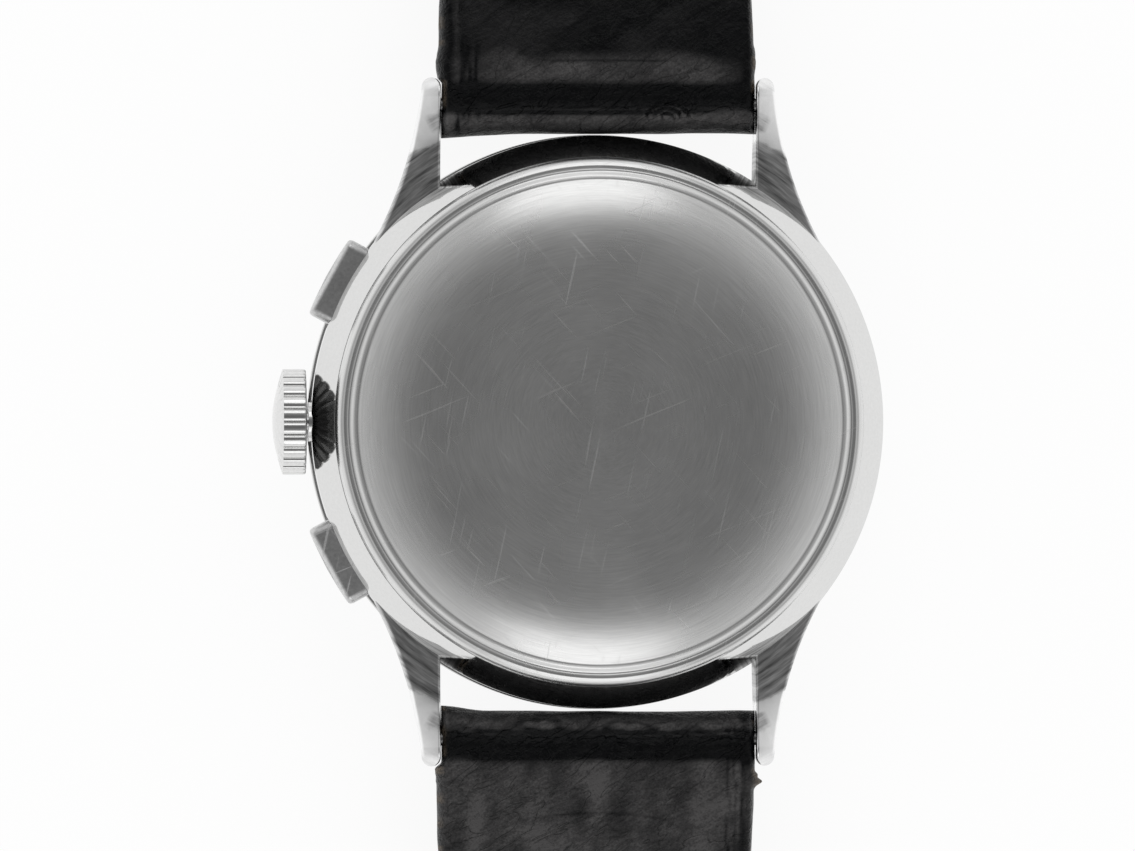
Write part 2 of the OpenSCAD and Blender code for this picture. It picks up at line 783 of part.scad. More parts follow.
module cannon_pinion() {
    steel() difference() {
        union() {
            post(middle, minute_z, works_z + 0.72, cannon_pipe_r);
            pinion(middle, works_z + 0.32, 0.4, cannon_leaves, works_m, 0);
        }
        post(middle, 0, 9, centre_tube_r);
    }
}

module minute_wheel() {
    brass() difference() {
        union() {
            wheel(minute_p, works_z + 0.37, 0.2, minute_teeth, works_m, minute_turn, 0.7, 0.3, 4);
            pinion(minute_p, works_z, 0.37, minute_leaves, hour_m, 0);
        }
        post(minute_p, 0, 9, fine_r + run);
    }
}

module hour_wheel() {
    brass() difference() {
        union() {
            translate([0, 0, works_z]) rotate(hour_turn) linear_extrude(0.2)
                teeth(hour_teeth, hour_m, 0.8, 1.2, 0.1, 0.24);
            post(middle, hour_z, works_z + 0.2, hour_pipe_r);
        }
        post(middle, 0, 9, hour_bore_r);
    }
}

module centre_wheel() {
    brass() difference() {
        union() {
            wheel(middle, train_z + 0.05, 0.2, centre_teeth, centre_m, 0, 1.1, 0.5, 5);
            pinion(middle, train_z + 0.25, 0.6, centre_leaves, barrel_m, centre_turn);
            post(middle, works_z - 0.1, deck_z - 0.1, centre_tube_r);
        }
        post(middle, 0, through, centre_bore_r);
    }
}

module third_wheel() {
    brass() {
        pinion(third_p, train_z + 0.04, 0.36, third_leaves, centre_m, third_turn);
        wheel(third_p, train_z + 1.2, 0.2, third_teeth, third_m, 0, 0.7, 0.4, 5);
        post(third_p, train_z + 0.04, bridge_z - 0.05, 0.22);
        post(third_p, train_z - pivot_len, bridge_z + pivot_len, pivot_r);
    }
}

module fourth_wheel() {
    brass() {
        wheel(fourth_p, train_z + 0.6, 0.2, fourth_teeth, fourth_m, 0, 0.7, 0.35, 5);
        pinion(fourth_p, train_z + 1.1, 0.45, fourth_leaves, third_m, fourth_turn);
        wheel(fourth_p, chrono_z, chrono_t, drive_teeth, works_m, 0, 0.6, 0.35, 5);
        post(fourth_p, small_z, chrono_z + chrono_t, fine_r);
    }
}

module escape_wheel() {
    r = escape_r;
    steel() {
        translate([escape_p[0], escape_p[1], train_z + 0.2]) linear_extrude(0.15) difference() {
            polygon([for (i = [0:escape_teeth - 1], s = [[0, 0], [0.12, 0], [0.2, 0.55], [0.9, 0.55]])
                polar(r - s[1], (i + s[0]) * 360 / escape_teeth)]);
            difference() {
                circle(r - 0.9);
                circle(0.5);
                for (i = [0:3]) rotate(i * 90) translate([0, -0.12]) square([r - 0.8, 0.24]);
            }
        }
        pinion(escape_p, train_z + 0.5, 0.4, escape_leaves, fourth_m, escape_turn);
        post(escape_p, train_z + 0.05, bridge_z - 0.05, 0.16);
        post(escape_p, train_z - pivot_len, bridge_z + pivot_len, pivot_r);
    }
}

module pallet_fork() {
    back = balance_dir + 180;
    reach = staff_d - 1.15;
    z = train_z + 0.42;
    steel() {
        translate([0, 0, z]) linear_extrude(0.18) {
            arm(pallet_p, pallet_p + polar(reach, balance_dir), 0.32);
            for (s = [-1, 1]) {
                arm(pallet_p, pallet_p + polar(1.62, back + s * 72), 0.36);
                translate(pallet_p + polar(reach, balance_dir)) rotate(balance_dir)
                    translate([0, s * 0.2 - 0.09]) square([0.22, 0.18]);
            }
        }
        for (s = [-1, 1]) translate([pallet_p[0], pallet_p[1], z - 0.25]) rotate(back + s * 72)
            translate([1.44, -0.1, 0]) cube([0.24, 0.2, 0.3]);
        post(pallet_p, train_z + 0.1, train_z + 0.95, 0.15);
        post(pallet_p, train_z - pivot_len, train_z + 1.15, pivot_r);
    }
}

module balance_wheel() {
    z = train_z + 1.65;
    brass() {
        translate([balance_p[0], balance_p[1], z]) {
            linear_extrude(0.5) difference() {
                circle(balance_r);
                circle(balance_r - 0.55);
            }
            translate([0, 0, 0.12]) linear_extrude(0.26) {
                circle(0.7);
                rotate(35) square([2 * balance_r - 0.6, 0.7], center = true);
            }
            for (i = [0:11]) rotate(i * 30 + 15) translate([balance_r - 0.1, 0, 0.25])
                rotate([0, 90, 0]) cylinder(r = 0.17, h = 0.22, $fn = 24);
        }
        post(balance_p, train_z + 0.68, train_z + 0.9, 1.2);
        post(balance_p + polar(0.78, balance_dir + 180), train_z + 0.42, train_z + 0.7, 0.12);
        post(balance_p, train_z + 0.2, deck_z - 0.15, 0.25);
        post(balance_p, train_z - pivot_len, deck_z + 0.35, pivot_r);
    }
}

// Flat ribbon wound from r0 to r1 round the origin
module spiral(r0, r1, turns, w) {
    n = 24 * turns;
    polygon(concat([for (i = [0:n]) polar(r0 + (r1 - r0) * i / n - w / 2, i * 15)],
        [for (i = [n:-1:0]) polar(r0 + (r1 - r0) * i / n + w / 2, i * 15)]));
}

module hairspring() {
    color([0.25, 0.35, 0.6]) translate([balance_p[0], balance_p[1], deck_z - 0.5])
        linear_extrude(0.2) spiral(0.5, 2.3, 8, 0.06);
}

module balance_cock() {
    stud = balance_p + polar(2.3, 0);
    nickel() difference() {
        union() {
            translate([0, 0, deck_z - 0.1]) linear_extrude(0.7) {
                arm(balance_p, cock_foot, 2.2);
                translate(balance_p) circle(1.5);
            }
            post(cock_foot, train_z, deck_z, 1.15);
            post(stud, deck_z - 0.3, deck_z, 0.18);
        }
        post(balance_p, deck_z - 1, deck_z + 0.37, pivot_r + run);
        screw_hole(cock_foot, deck_z + 0.6);
    }
}

module pallet_bridge() {
    nickel() difference() {
        union() {
            translate([0, 0, train_z + 1]) linear_extrude(0.3) arm(pallet_p, pallet_foot, 1.2);
            post(pallet_foot, train_z, train_z + 1.1, 0.6);
        }
        post(pallet_p, train_z, train_z + 1.2, pivot_r + run);
    }
}

module barrel() {
    r = barrel_teeth * barrel_m / 2 - 0.35;
    brass() difference() {
        union() {
            translate([barrel_p[0], barrel_p[1], drum_z]) linear_extrude(0.3)
                teeth(barrel_teeth, barrel_m, 0.9, 1.2, 0.1, 0.24);
            post(barrel_p, drum_z, drum_z + drum_h, r);
        }
        post(barrel_p, drum_z + 0.2, drum_z + drum_h - 0.2, r - 0.3);
        post(barrel_p, 0, through, 0.5 + run);
    }
}

module barrel_arbor() {
    steel() {
        post(barrel_p, train_z - 0.6, wind_z - 0.02, 0.5);
        post(barrel_p, drum_z + 0.25, drum_z + drum_h - 0.25, 0.9);
        translate([barrel_p[0], barrel_p[1], wind_z - 0.1]) linear_extrude(wind_t + 0.1)
            square(square_w, center = true);
    }
}

module mainspring() {
    steel() translate([barrel_p[0], barrel_p[1], drum_z + 0.3]) linear_extrude(drum_h - 0.6)
        spiral(1.05, 4.25, 7, 0.12);
}

module ratchet_wheel() {
    steel() translate([barrel_p[0], barrel_p[1], wind_z]) linear_extrude(wind_t) difference() {
        rotate(ratchet_turn) teeth(ratchet_teeth, wind_m, 0.8, 1.1, 0.1, 0.25);
        square(square_w, center = true);
    }
}

module crown_wheel() {
    steel() translate([crown_wheel_p[0], 0, wind_z]) linear_extrude(wind_t) difference() {
        teeth(crown_teeth, wind_m, 0.8, 1.1, 0.1, 0.25);
        circle(1.2 + run);
    }
}

module click() {
    beak = barrel_p + polar(ratchet_teeth * wind_m / 2 + 0.45, 78);
    steel() difference() {
        translate([0, 0, wind_z]) linear_extrude(wind_t) {
            translate(click_p) circle(0.75);
            arm(click_p, beak, 0.5);
        }
        post(click_p, 0, through, 0.35 + run);
    }
}

module column_wheel() {
    steel() difference() {
        union() {
            translate([column_p[0], column_p[1], lever_z]) linear_extrude(lever_t)
                teeth(12, 0.3, 0.4, 0.6, 0.08, 0.4);
            translate([column_p[0], column_p[1], lever_z]) linear_extrude(column_h) difference() {
                circle(1.45);
                circle(0.85);
                for (i = [0:5]) rotate(i * 60) translate([0.4, -0.3]) square([1.4, 0.6]);
            }
            post(column_p, lever_z, lever_z + lever_t, 1);
        }
        post(column_p, 0, through, 0.4 + run);
    }
}

function push_point(side) = polar(push_r, 180 - side * pusher_a);

module operating_lever() {
    touch = push_point(1);
    dir = bearing(lever_p, touch);
    steel() difference() {
        union() {
            translate([0, 0, lever_z]) linear_extrude(lever_t) {
                translate(lever_p) circle(0.75);
                arm(lever_p, lever_p + polar(4.6, dir), 0.7);
            }
            post(touch, axis_z - 0.4, lever_z + lever_t, touch_r);
        }
        post(lever_p, 0, through, 0.4 + run);
    }
}

module reset_hammer() {
    touch = push_point(-1);
    steel() difference() {
        union() {
            translate([0, 0, heart_z]) linear_extrude(heart_t) {
                translate(hammer_p) circle(0.85);
                arm(hammer_p, touch, 0.8);
                arm(hammer_p, [-8.75, -1.2], 0.8);
                arm(hammer_p, [-3.3, -1.6], 0.8);
                translate([-9.1, -1.2]) square([0.7, 2.1]);
                translate([-3.6, -1.7]) square([0.7, 2.3]);
            }
            post(touch, axis_z - 0.4, heart_z + heart_t, touch_r);
        }
        post(hammer_p, 0, through, 0.4 + run);
    }
}

// Heart cam: its radius grows evenly from r0 at the point to r1 at the opposite side
module heart(r0, r1) {
    polygon([for (a = [-180:15:165]) polar(r1 - (r1 - r0) * abs(a) / 180, a + 90)]);
}

module chrono_runner() {
    brass() {
        wheel(middle, chrono_z, chrono_t, drive_teeth, works_m, 3, 0.6, 0.35, 5);
        translate([0, 0, heart_z]) linear_extrude(heart_t) heart(0.35, 0.9);
        post(middle, sweep_z, span_z + 0.4, runner_arbor_r);
        post(middle, chrono_z, heart_z + 0.05, 0.4);
    }
}

module minute_recorder() {
    brass() {
        wheel(record_p, chrono_z, chrono_t, record_teeth, works_m, 0, 0.5, 0.25, 4);
        translate([record_p[0], 0, heart_z]) linear_extrude(heart_t) heart(0.3, 0.7);
        post(record_p, small_z, span_z + 0.4, fine_r);
        post(record_p, chrono_z, heart_z + 0.05, 0.35);
    }
}

module coupling_lever() {
    steel() difference() {
        union() {
            translate([0, 0, lever_z]) linear_extrude(lever_t) {
                translate(fourth_p) circle(1.4);
                arm(fourth_p, couple_p, 0.9);
                arm(couple_p, [0.6, 8.4], 0.8);
                arm([0.6, 8.4], [-5.2, 10.1], 0.7);
            }
            post(couple_p, lever_z, chrono_z + chrono_t, fine_r);
        }
        post(fourth_p, 0, through, 0.8 + run);
    }
}

module coupling_wheel() {
    brass() difference() {
        wheel(couple_p, chrono_z - 0.05, chrono_t, couple_teeth, works_m, 0, 0.5, 0.25, 4);
        post(couple_p, 0, through, fine_r + run);
    }
}

module chrono_bridge() {
    nickel() difference() {
        union() {
            translate([0, 0, span_z]) linear_extrude(span_t) {
                arm(middle, span_feet[0], 2);
                arm(middle, span_feet[1], 2);
                arm(middle, record_p, 2.2);
                arm(record_p, span_feet[2], 2);
            }
            for (f = span_feet) post(f, deck_z, span_z + 0.1, 0.7);
        }
        post(middle, 0, span_z + 0.42, runner_arbor_r + run);
        post(record_p, 0, span_z + 0.42, fine_r + run);
        for (f = span_feet) screw_hole(f, span_z + span_t);
    }
}

// Screws: heads stand on the bridges, shanks go down into the feet
module screw_hole(p, top) {
    post(p, top - screw_len, top + 2, screw_r + 0.02);
}

module screw(p, top) {
    difference() {
        union() {
            post(p, top - screw_len + 0.02, top + 0.1, screw_r);
            post(p, top, top + screw_head_t, screw_head_r);
        }
        translate([p[0] - 1, p[1] - 0.09, top + screw_head_t - 0.14]) cube([2, 0.18, 1]);
    }
}

module bridge_screws() {
    color([0.2, 0.28, 0.5]) {
        for (p = deck_screws) screw(p, deck_z);
        for (p = span_feet) screw(p, span_z + span_t);
        screw(cock_foot, deck_z + 0.6);
    }
}

module jewels() {
    color([0.75, 0.1, 0.25]) for (p = jewel_places) difference() {
        post(p, bridge_z, bridge_z + jewel_t, jewel_r);
        post(p, 0, through, (p == fourth_p ? fine_r : pivot_r) + run);
    }
}

// Slot round the winding pinion, from height z up
module winder_room(z) {
    translate([winder_x - 0.65, -winder_r - 0.3, z]) cube([1.3, 2 * winder_r + 0.6, through]);
}

module deck_blank() {
    difference() {
        union() {
            post(middle, bridge_z, deck_z, bridge_r);
            difference() {
                post(middle, train_z, deck_z, bridge_r);
                post(middle, 0, through, bridge_r - 2.1);
            }
        }
        post(balance_p, 0, through, balance_r + 0.45);
        for (p = deck_screws) screw_hole(p, deck_z);
        for (side = [-1, 1]) post(push_point(side), 0, through, 1.5);
        for (side = [-1, 1]) at_pusher(side) along_x(push_r, 18, shank_r + 0.2);
        post(middle, 0, through, centre_tube_r + run);
        post(record_p, 0, through, fine_r + run);
        post(barrel_p, 0, through, 0.5 + run);
        for (p = jewel_places) post(p, 0, bridge_z + jewel_t, jewel_r);
        post(fourth_p, 0, through, fine_r + run);
        for (p = [third_p, escape_p]) post(p, 0, bridge_z + 0.5, pivot_r + run);
    }
}

module barrel_bridge() {
    nickel() {
        difference() {
            intersection() {
                deck_blank();
                linear_extrude(through)
                    polygon(concat([[-20, 20], [-20, -20], [split_x, -20]], split(split_x)));
            }
            winder_room(0);
            translate([clutch_x, -clutch_r - 0.1, 0])
                cube([clutch_len + 0.13, 2 * clutch_r + 0.2, axis_z + clutch_r + 0.1]);
            translate([0, 0, axis_z]) along_x(-20, -5, stem_r + run);
        }
        post([crown_wheel_p[0], 0], deck_z - 0.1, wind_z + wind_t, 1.2);
        post(click_p, deck_z - 0.1, wind_z + wind_t + 0.05, 0.35);
        post(column_p, deck_z - 0.1, lever_z + lever_t + 0.3, 0.4);
        post(lever_p, deck_z - 0.1, lever_z + lever_t + 0.1, 0.4);
        post(hammer_p, deck_z - 0.1, heart_z + heart_t + 0.1, 0.4);
    }
}

module train_bridge() {
    nickel() {
        intersection() {
            deck_blank();
            linear_extrude(through)
                polygon(concat([[split_x + 0.2, -5]], split(split_x + 0.2),
                    [[20, 20], [20, -3.2], [9.6, -3.2]]));
        }
        difference() {
            post(fourth_p, deck_z - 0.1, lever_z + lever_t + 0.02, 0.8);
            post(fourth_p, 0, through, fine_r + run);
        }
    }
}

module mainplate() {
    nickel() {
        difference() {
            post(middle, plate_z, train_z, plate_r);
            post(middle, 0, works_z + 0.8, hour_teeth * hour_m / 2 + 0.35);
            post(minute_p, 0, works_z + 0.8, minute_teeth * works_m / 2 + 0.25);
            post(middle, 0, through, centre_tube_r + run);
            post(fourth_p, 0, through, fine_r + run);
            post(record_p, 0, through, fine_r + run);
            for (p = [third_p, escape_p, pallet_p, balance_p])
                post(p, train_z - pivot_len - 0.05, train_z + 1, pivot_r + run);
            post(barrel_p, train_z - 0.65, train_z + 1, 0.5 + run);
            winder_room(axis_z - winder_r - 0.25);
            translate([clutch_x, -clutch_r - 0.1, axis_z - clutch_r - 0.25])
                cube([3, 2 * clutch_r + 0.2, through]);
        }
        post(minute_p, works_z - 0.05, works_z + 0.9, fine_r);
    }
}

case_middle();
bezel();
crystal();
case_back();
crown();
crown_tube();
winding_stem();
start_pusher();
reset_pusher();
pusher_sleeves();
start_spring();
reset_spring();
spring_bar_12();
spring_bar_6();
strap_short();
strap_long();
buckle_frame();
buckle_tongue();
buckle_bar();
fixed_keeper();
free_keeper();
dial();
hour_hand();
minute_hand();
chrono_hand();
small_seconds_hand();
minute_counter_hand();
hour_wheel();
minute_wheel();
cannon_pinion();
mainplate();
barrel_bridge();
train_bridge();
balance_cock();
pallet_bridge();
barrel();
barrel_arbor();
mainspring();
ratchet_wheel();
crown_wheel();
click();
centre_wheel();
third_wheel();
fourth_wheel();
escape_wheel();
pallet_fork();
balance_wheel();
hairspring();
winding_pinion();
sliding_pinion();
column_wheel();
operating_lever();
chrono_runner();
coupling_lever();
coupling_wheel();
minute_recorder();
reset_hammer();
chrono_bridge();
bridge_screws();
jewels();
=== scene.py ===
import json
import math

import bmesh
import bpy
import numpy as np
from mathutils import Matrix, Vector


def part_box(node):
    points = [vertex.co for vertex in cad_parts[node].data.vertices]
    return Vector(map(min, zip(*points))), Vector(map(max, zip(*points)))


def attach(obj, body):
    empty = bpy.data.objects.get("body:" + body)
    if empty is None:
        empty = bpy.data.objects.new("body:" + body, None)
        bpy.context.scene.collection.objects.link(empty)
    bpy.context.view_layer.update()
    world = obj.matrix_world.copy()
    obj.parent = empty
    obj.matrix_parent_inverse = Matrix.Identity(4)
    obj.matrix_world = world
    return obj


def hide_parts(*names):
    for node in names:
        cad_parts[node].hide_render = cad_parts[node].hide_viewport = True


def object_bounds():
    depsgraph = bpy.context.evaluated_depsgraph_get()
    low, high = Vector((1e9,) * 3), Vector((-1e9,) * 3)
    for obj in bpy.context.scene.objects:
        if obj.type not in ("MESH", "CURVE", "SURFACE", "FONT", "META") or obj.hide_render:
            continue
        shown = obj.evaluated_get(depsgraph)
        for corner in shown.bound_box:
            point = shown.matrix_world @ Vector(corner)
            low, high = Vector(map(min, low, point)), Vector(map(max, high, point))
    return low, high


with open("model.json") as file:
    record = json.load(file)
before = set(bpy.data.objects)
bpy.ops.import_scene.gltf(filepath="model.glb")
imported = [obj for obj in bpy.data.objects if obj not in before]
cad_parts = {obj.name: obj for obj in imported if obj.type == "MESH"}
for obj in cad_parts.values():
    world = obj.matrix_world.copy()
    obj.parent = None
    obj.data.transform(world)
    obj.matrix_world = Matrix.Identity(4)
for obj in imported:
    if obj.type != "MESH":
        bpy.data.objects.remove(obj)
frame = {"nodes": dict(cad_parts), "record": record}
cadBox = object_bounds()
mm = 0.001
tau = 2 * math.pi
scene = bpy.context.scene
print("frame loaded:", len(frame["nodes"]), "nodes")


# Lowest and highest corner of a node in millimetres
def span(node):
    low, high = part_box(node)
    return np.array(low) * 1000, np.array(high) * 1000


# Nodes of a material or a world; a socket takes a plain value or another socket
class Graph:
    def __init__(self, owner, ending="OutputMaterial"):
        if isinstance(owner, str):
            owner = bpy.data.materials.new(owner)
        owner.use_nodes = True
        self.owner, self.tree = owner, owner.node_tree
        self.tree.nodes.clear()
        self.out = self.node(ending)

    def node(self, kind, sockets=None, **settings):
        made = self.tree.nodes.new("ShaderNode" + kind)
        for key, value in settings.items():
            setattr(made, key, value)
        for key, value in (sockets or {}).items():
            if isinstance(value, bpy.types.NodeSocket):
                self.tree.links.new(value, made.inputs[key])
            else:
                made.inputs[key].default_value = value
        return made

    def math(self, how, *values):
        return self.node("Math", dict(enumerate(values)), operation=how).outputs[0]

    def times(self, a, b):
        return self.math("MULTIPLY", a, b)

    # Sum of values, each times its weight
    def weigh(self, *pairs):
        total = None
        for value, weight in pairs:
            part = value if weight == 1 else self.times(value, weight)
            total = part if total is None else self.math("ADD", total, part)
        return total

    def vector(self, how, sockets):
        return self.node("VectorMath", sockets, operation=how).outputs

    def blend(self, factor, dark, light):
        dark, light = (c if isinstance(c, bpy.types.NodeSocket) else (*c, 1) for c in (dark, light))
        return self.node("Mix", {0: factor, 6: dark, 7: light}, data_type="RGBA").outputs[2]

    def rescale(self, value, low, high, newLow=0.0, newHigh=1.0):
        return self.node("MapRange", {0: value, 1: low, 2: high, 3: newLow, 4: newHigh}).outputs[0]

    def attribute(self, name):
        return self.node("Attribute", attribute_name=name).outputs["Fac"]

    # Object coordinates, drawn out along the axes of a frame turned about z
    def place(self, stretch=(1, 1, 1), turn=0):
        return self.node("Mapping", {"Vector": self.node("TexCoord").outputs["Object"], "Scale": stretch,
                                     "Rotation": (0, 0, math.radians(turn))},
                         vector_type="TEXTURE").outputs[0]

    def noise(self, scale, detail=2.0, rough=0.5, twist=0.0, stretch=(1, 1, 1), turn=0, place=None):
        return self.node("TexNoise", {"Vector": place or self.place(stretch, turn), "Scale": scale,
                                      "Detail": detail, "Roughness": rough, "Distortion": twist}).outputs[0]

    # Coordinates for marks that run round an axis along z: the distance from it times fine, and
    # the direction as a unit vector times along, so that no seam shows; and the distance itself
    def roundPlace(self, fine, along, centreX=0):
        place = self.node("TexCoord").outputs["Object"]
        flat = self.vector("ADD", {0: place, 1: (-centreX * mm, 0, 0)})[0]
        flat = self.vector("MULTIPLY", {0: flat, 1: (1, 1, 0)})[0]
        far = self.vector("LENGTH", {0: flat})["Value"]
        way = self.vector("SCALE", {0: self.vector("NORMALIZE", {0: flat})[0], "Scale": along})[0]
        parts = self.node("SeparateXYZ", {0: way}).outputs
        return self.node("CombineXYZ", {0: self.times(far, fine), 1: parts[0], 2: parts[1]}).outputs[0], far

    # Sparse hairlines in three directions, 0 to 1
    def hairlines(self):
        found = 0.0
        for turn, scale in ((22, 4600), (-48, 5800), (78, 5200)):
            streak = self.noise(scale, 1.0, stretch=(30, 1, 4), turn=turn)
            found = self.math("MAXIMUM", found, self.rescale(streak, 0.70, 0.76))
        return found

    # 1 for rays of any of the given kinds
    def rays(self, first, *others):
        path = self.node("LightPath").outputs
        seen = path[first]
        for kind in others:
            seen = self.math("MAXIMUM", seen, path[kind])
        return seen

    # Ends the material; relief is (height, strength, distance)
    def surface(self, colour, rough, relief=None, more=None):
        sockets = {"Base Color": colour, "Roughness": rough, **(more or {})}
        if relief:
            relief = dict(zip(("Height", "Strength", "Distance"), relief))
            sockets["Normal"] = self.node("Bump", relief).outputs[0]
        self.shader = self.node("BsdfPrincipled", sockets)
        self.tree.links.new(self.shader.outputs[0], self.out.inputs[0])
        return self.owner


# A colour made darker and lighter
def shades(colour, low, high):
    return tuple(c * low for c in colour), tuple(min(1.0, c * high) for c in colour)


# Steel, plain or with the rings of a lathe; spread draws its highlights out, painted shade darkens
# it where the piece's raw attribute is 1
def steelMaterial(name, colour, rough, turned=False, grainDepth=0.3, spread=0.0, scuffs=0.25, contrast=0.06,
                  paintedShade=False):
    g, more = Graph(name), {"Metallic": 1.0}
    cloudy = g.noise(130, 3.0)
    marks = g.noise(1.0, 3.0, 0.7, place=g.roundPlace(9000.0, 5.0)[0]) if turned else g.noise(5000)
    scratch = g.hairlines()
    tone = g.weigh((marks, 0.7), (cloudy, 0.3))
    skin = g.blend(g.rescale(tone, 0.3, 0.7), *shades(colour, 1 - contrast, 1 + contrast))
    # Painted shade: the colour goes to dark grey where the raw attribute is 1
    if paintedShade:
        skin = g.blend(g.attribute("raw"), skin, (0.1, 0.1, 0.1))
    if spread:
        tangent = g.node("Tangent", direction_type="UV_MAP", uv_map="surface").outputs[0]
        more.update({"Anisotropic": spread, "Tangent": tangent})
    dullness = g.weigh((g.rescale(cloudy, 0.3, 0.7, rough * 0.92, rough * 1.1), 1), (scratch, scuffs * 0.25))
    return g.surface(skin, dullness, (g.weigh((marks, grainDepth), (scratch, -scuffs)), 0.2, 0.00001), more)


lugFinishAndReflection = {"slope": 0.43, "line": (21.95, 22.2), "dullAndDarkFrom": (22.7, 22.9), "dullAndDarkTo": (24.1, 23.7),
             "dullAndDarkSide": (1.5, 1.1), "end": (20.75, 21.0)}


# Lug steel: brushed and dull at the root, polished at the tip, with a painted reflection: the root
# is painted darker grey and the tip near white. The two meet where y + slope * x passes the line, in mm,
# and a dull patch with a darker painted reflection lies on the inner side of the tip.
def lugMaterial(name):
    g, look = Graph(name), lugFinishAndReflection
    parts = g.node("SeparateXYZ", {0: g.vector("ABSOLUTE", {0: g.place()})[0]}).outputs
    x, y = g.times(parts[0], 1000.0), g.times(parts[1], 1000.0)
    marks = g.noise(1.0, 3.0, 0.7, place=g.roundPlace(3200.0, 5.0)[0])
    cloudy = g.noise(900, 3.0, 0.6)
    slant = g.weigh((y, 1), (x, look["slope"]), (g.rescale(cloudy, 0.3, 0.7, -0.12, 0.12), 1))
    # Dull patch on the inner side of the tip: rougher, and painted with a darker reflection
    dullAndDark = g.times(g.rescale(slant, *look["dullAndDarkFrom"]), g.rescale(slant, *look["dullAndDarkTo"]))
    dullAndDark = g.times(dullAndDark, g.rescale(g.weigh((x, 1), (y, -0.5)), *look["dullAndDarkSide"]))
    bright = g.times(g.rescale(slant, *look["line"]), g.math("SUBTRACT", 1.0, g.times(dullAndDark, 0.75)))
    shown = g.weigh((bright, 1), (g.rescale(y, *look["end"]), -0.3))
    # Painted reflection: darker grey at the root, near white at the tip
    root = g.blend(g.rescale(marks, 0.35, 0.65), (0.2, 0.2, 0.2), (0.68, 0.68, 0.68))
    tip = g.blend(g.rescale(cloudy, 0.3, 0.7), (0.9, 0.9, 0.9), (1.0, 1.0, 1.0))
    height = g.times(marks, g.rescale(shown, 0, 1, 1.3, 0.15))
    return g.surface(g.blend(shown, root, tip), g.rescale(shown, 0, 1, 0.3, 0.16), (height, 0.3, 0.00001),
                     {"Metallic": 1.0})


# Metal of the movement, with stripes, circles or plain grain
def worksMaterial(name, colour, rough, pattern="grain"):
    g = Graph(name)
    if pattern == "stripes":
        marks = g.node("TexWave", {"Vector": g.place(), "Scale": 110, "Distortion": 0.2},
                       wave_profile="SAW", bands_direction="DIAGONAL").outputs[1]
    elif pattern == "pearled":
        cells = g.node("TexVoronoi", {"Vector": g.place(), "Scale": 900, "Randomness": 0.1})
        marks = g.math("SINE", g.times(cells.outputs[0], 40.0))
    else:
        marks = g.noise(9000, stretch=(12, 1, 1), turn=23)
    mixed = g.weigh((g.noise(400, 4.0), 0.6), (marks, 0.4))
    return g.surface(g.blend(mixed, *shades(colour, 0.8, 1.08)),
                     g.rescale(mixed, 0.2, 0.8, rough * 0.7, rough * 1.3), (marks, 0.2, 0.00002),
                     {"Metallic": 1.0})


# Black strap leather: tone on the piece darkens or lightens it and carries painted shade and painted sheen;
# raw shows torn fibres
def leatherMaterial(name, dark, light, shine):
    g = Graph(name)
    torn = g.attribute("raw")
    patches = g.noise(330, 4.0, 0.6, 0.4)
    strokes = g.noise(1500, 4.0, 0.62, 0.7, (3.2, 1, 1), 32)
    other = g.noise(2100, 3.0, 0.6, 0.5, (2.4, 1, 1), -38)
    fine = g.noise(7000, 3.0, 0.6)
    grain = g.noise(4200, 3.0, 0.65, 0.3, (3.0, 1, 1), 28)
    veins = g.noise(620, 3.0, 0.6, 0.5, (2.6, 1, 1), 35)
    # Cracks: thin lines, bumped in and painted darker as shade in them
    cracks = g.rescale(g.math("ABSOLUTE", g.math("SUBTRACT", veins, 0.5)), 0.0, 0.018, 1.0, 0.0)
    mottle = g.weigh((patches, 0.5), (strokes, 0.5))
    tone = g.math("ADD", g.attribute("tone"), 0.06)
    for part, *limits in ((mottle, 0.38, 0.62, 0.7, 1.3), (fine, 0.3, 0.7, 0.62, 1.4),
                          (grain, 0.34, 0.66, 0.74, 1.26), (cracks, 0, 1, 1.0, 0.72)):
        tone = g.times(tone, g.rescale(part, *limits))
    tone = g.math("MINIMUM", g.math("MAXIMUM", tone, 0.0), 1.0)
    skin = g.blend(g.times(torn, g.rescale(fine, 0.35, 0.55)), g.blend(tone, dark, light), (0.16, 0.13, 0.1))
    rough = g.weigh((g.rescale(mottle, 0.36, 0.64, shine + 0.12, shine - 0.05), 1), (torn, 0.3))
    height = g.weigh((strokes, 1), (other, 0.6), (fine, 0.22), (patches, 1.4), (cracks, -0.35))
    return g.surface(skin, rough, (height, 0.95, 0.00018), {"Specular IOR Level": 0.13})


# Clear acrylic with faint hairlines
def crystalMaterial(name):
    g = Graph(name)
    hair, haze = g.hairlines(), g.noise(120, 3.0)
    return g.surface(g.blend(haze, (0.97, 0.98, 0.98), (1, 1, 1)),
                     g.weigh((g.rescale(haze, 0.3, 0.7, 0.01, 0.04), 1), (hair, 0.1)),
                     (hair, 0.1, 0.000004), {"Transmission Weight": 1.0, "IOR": 1.49})


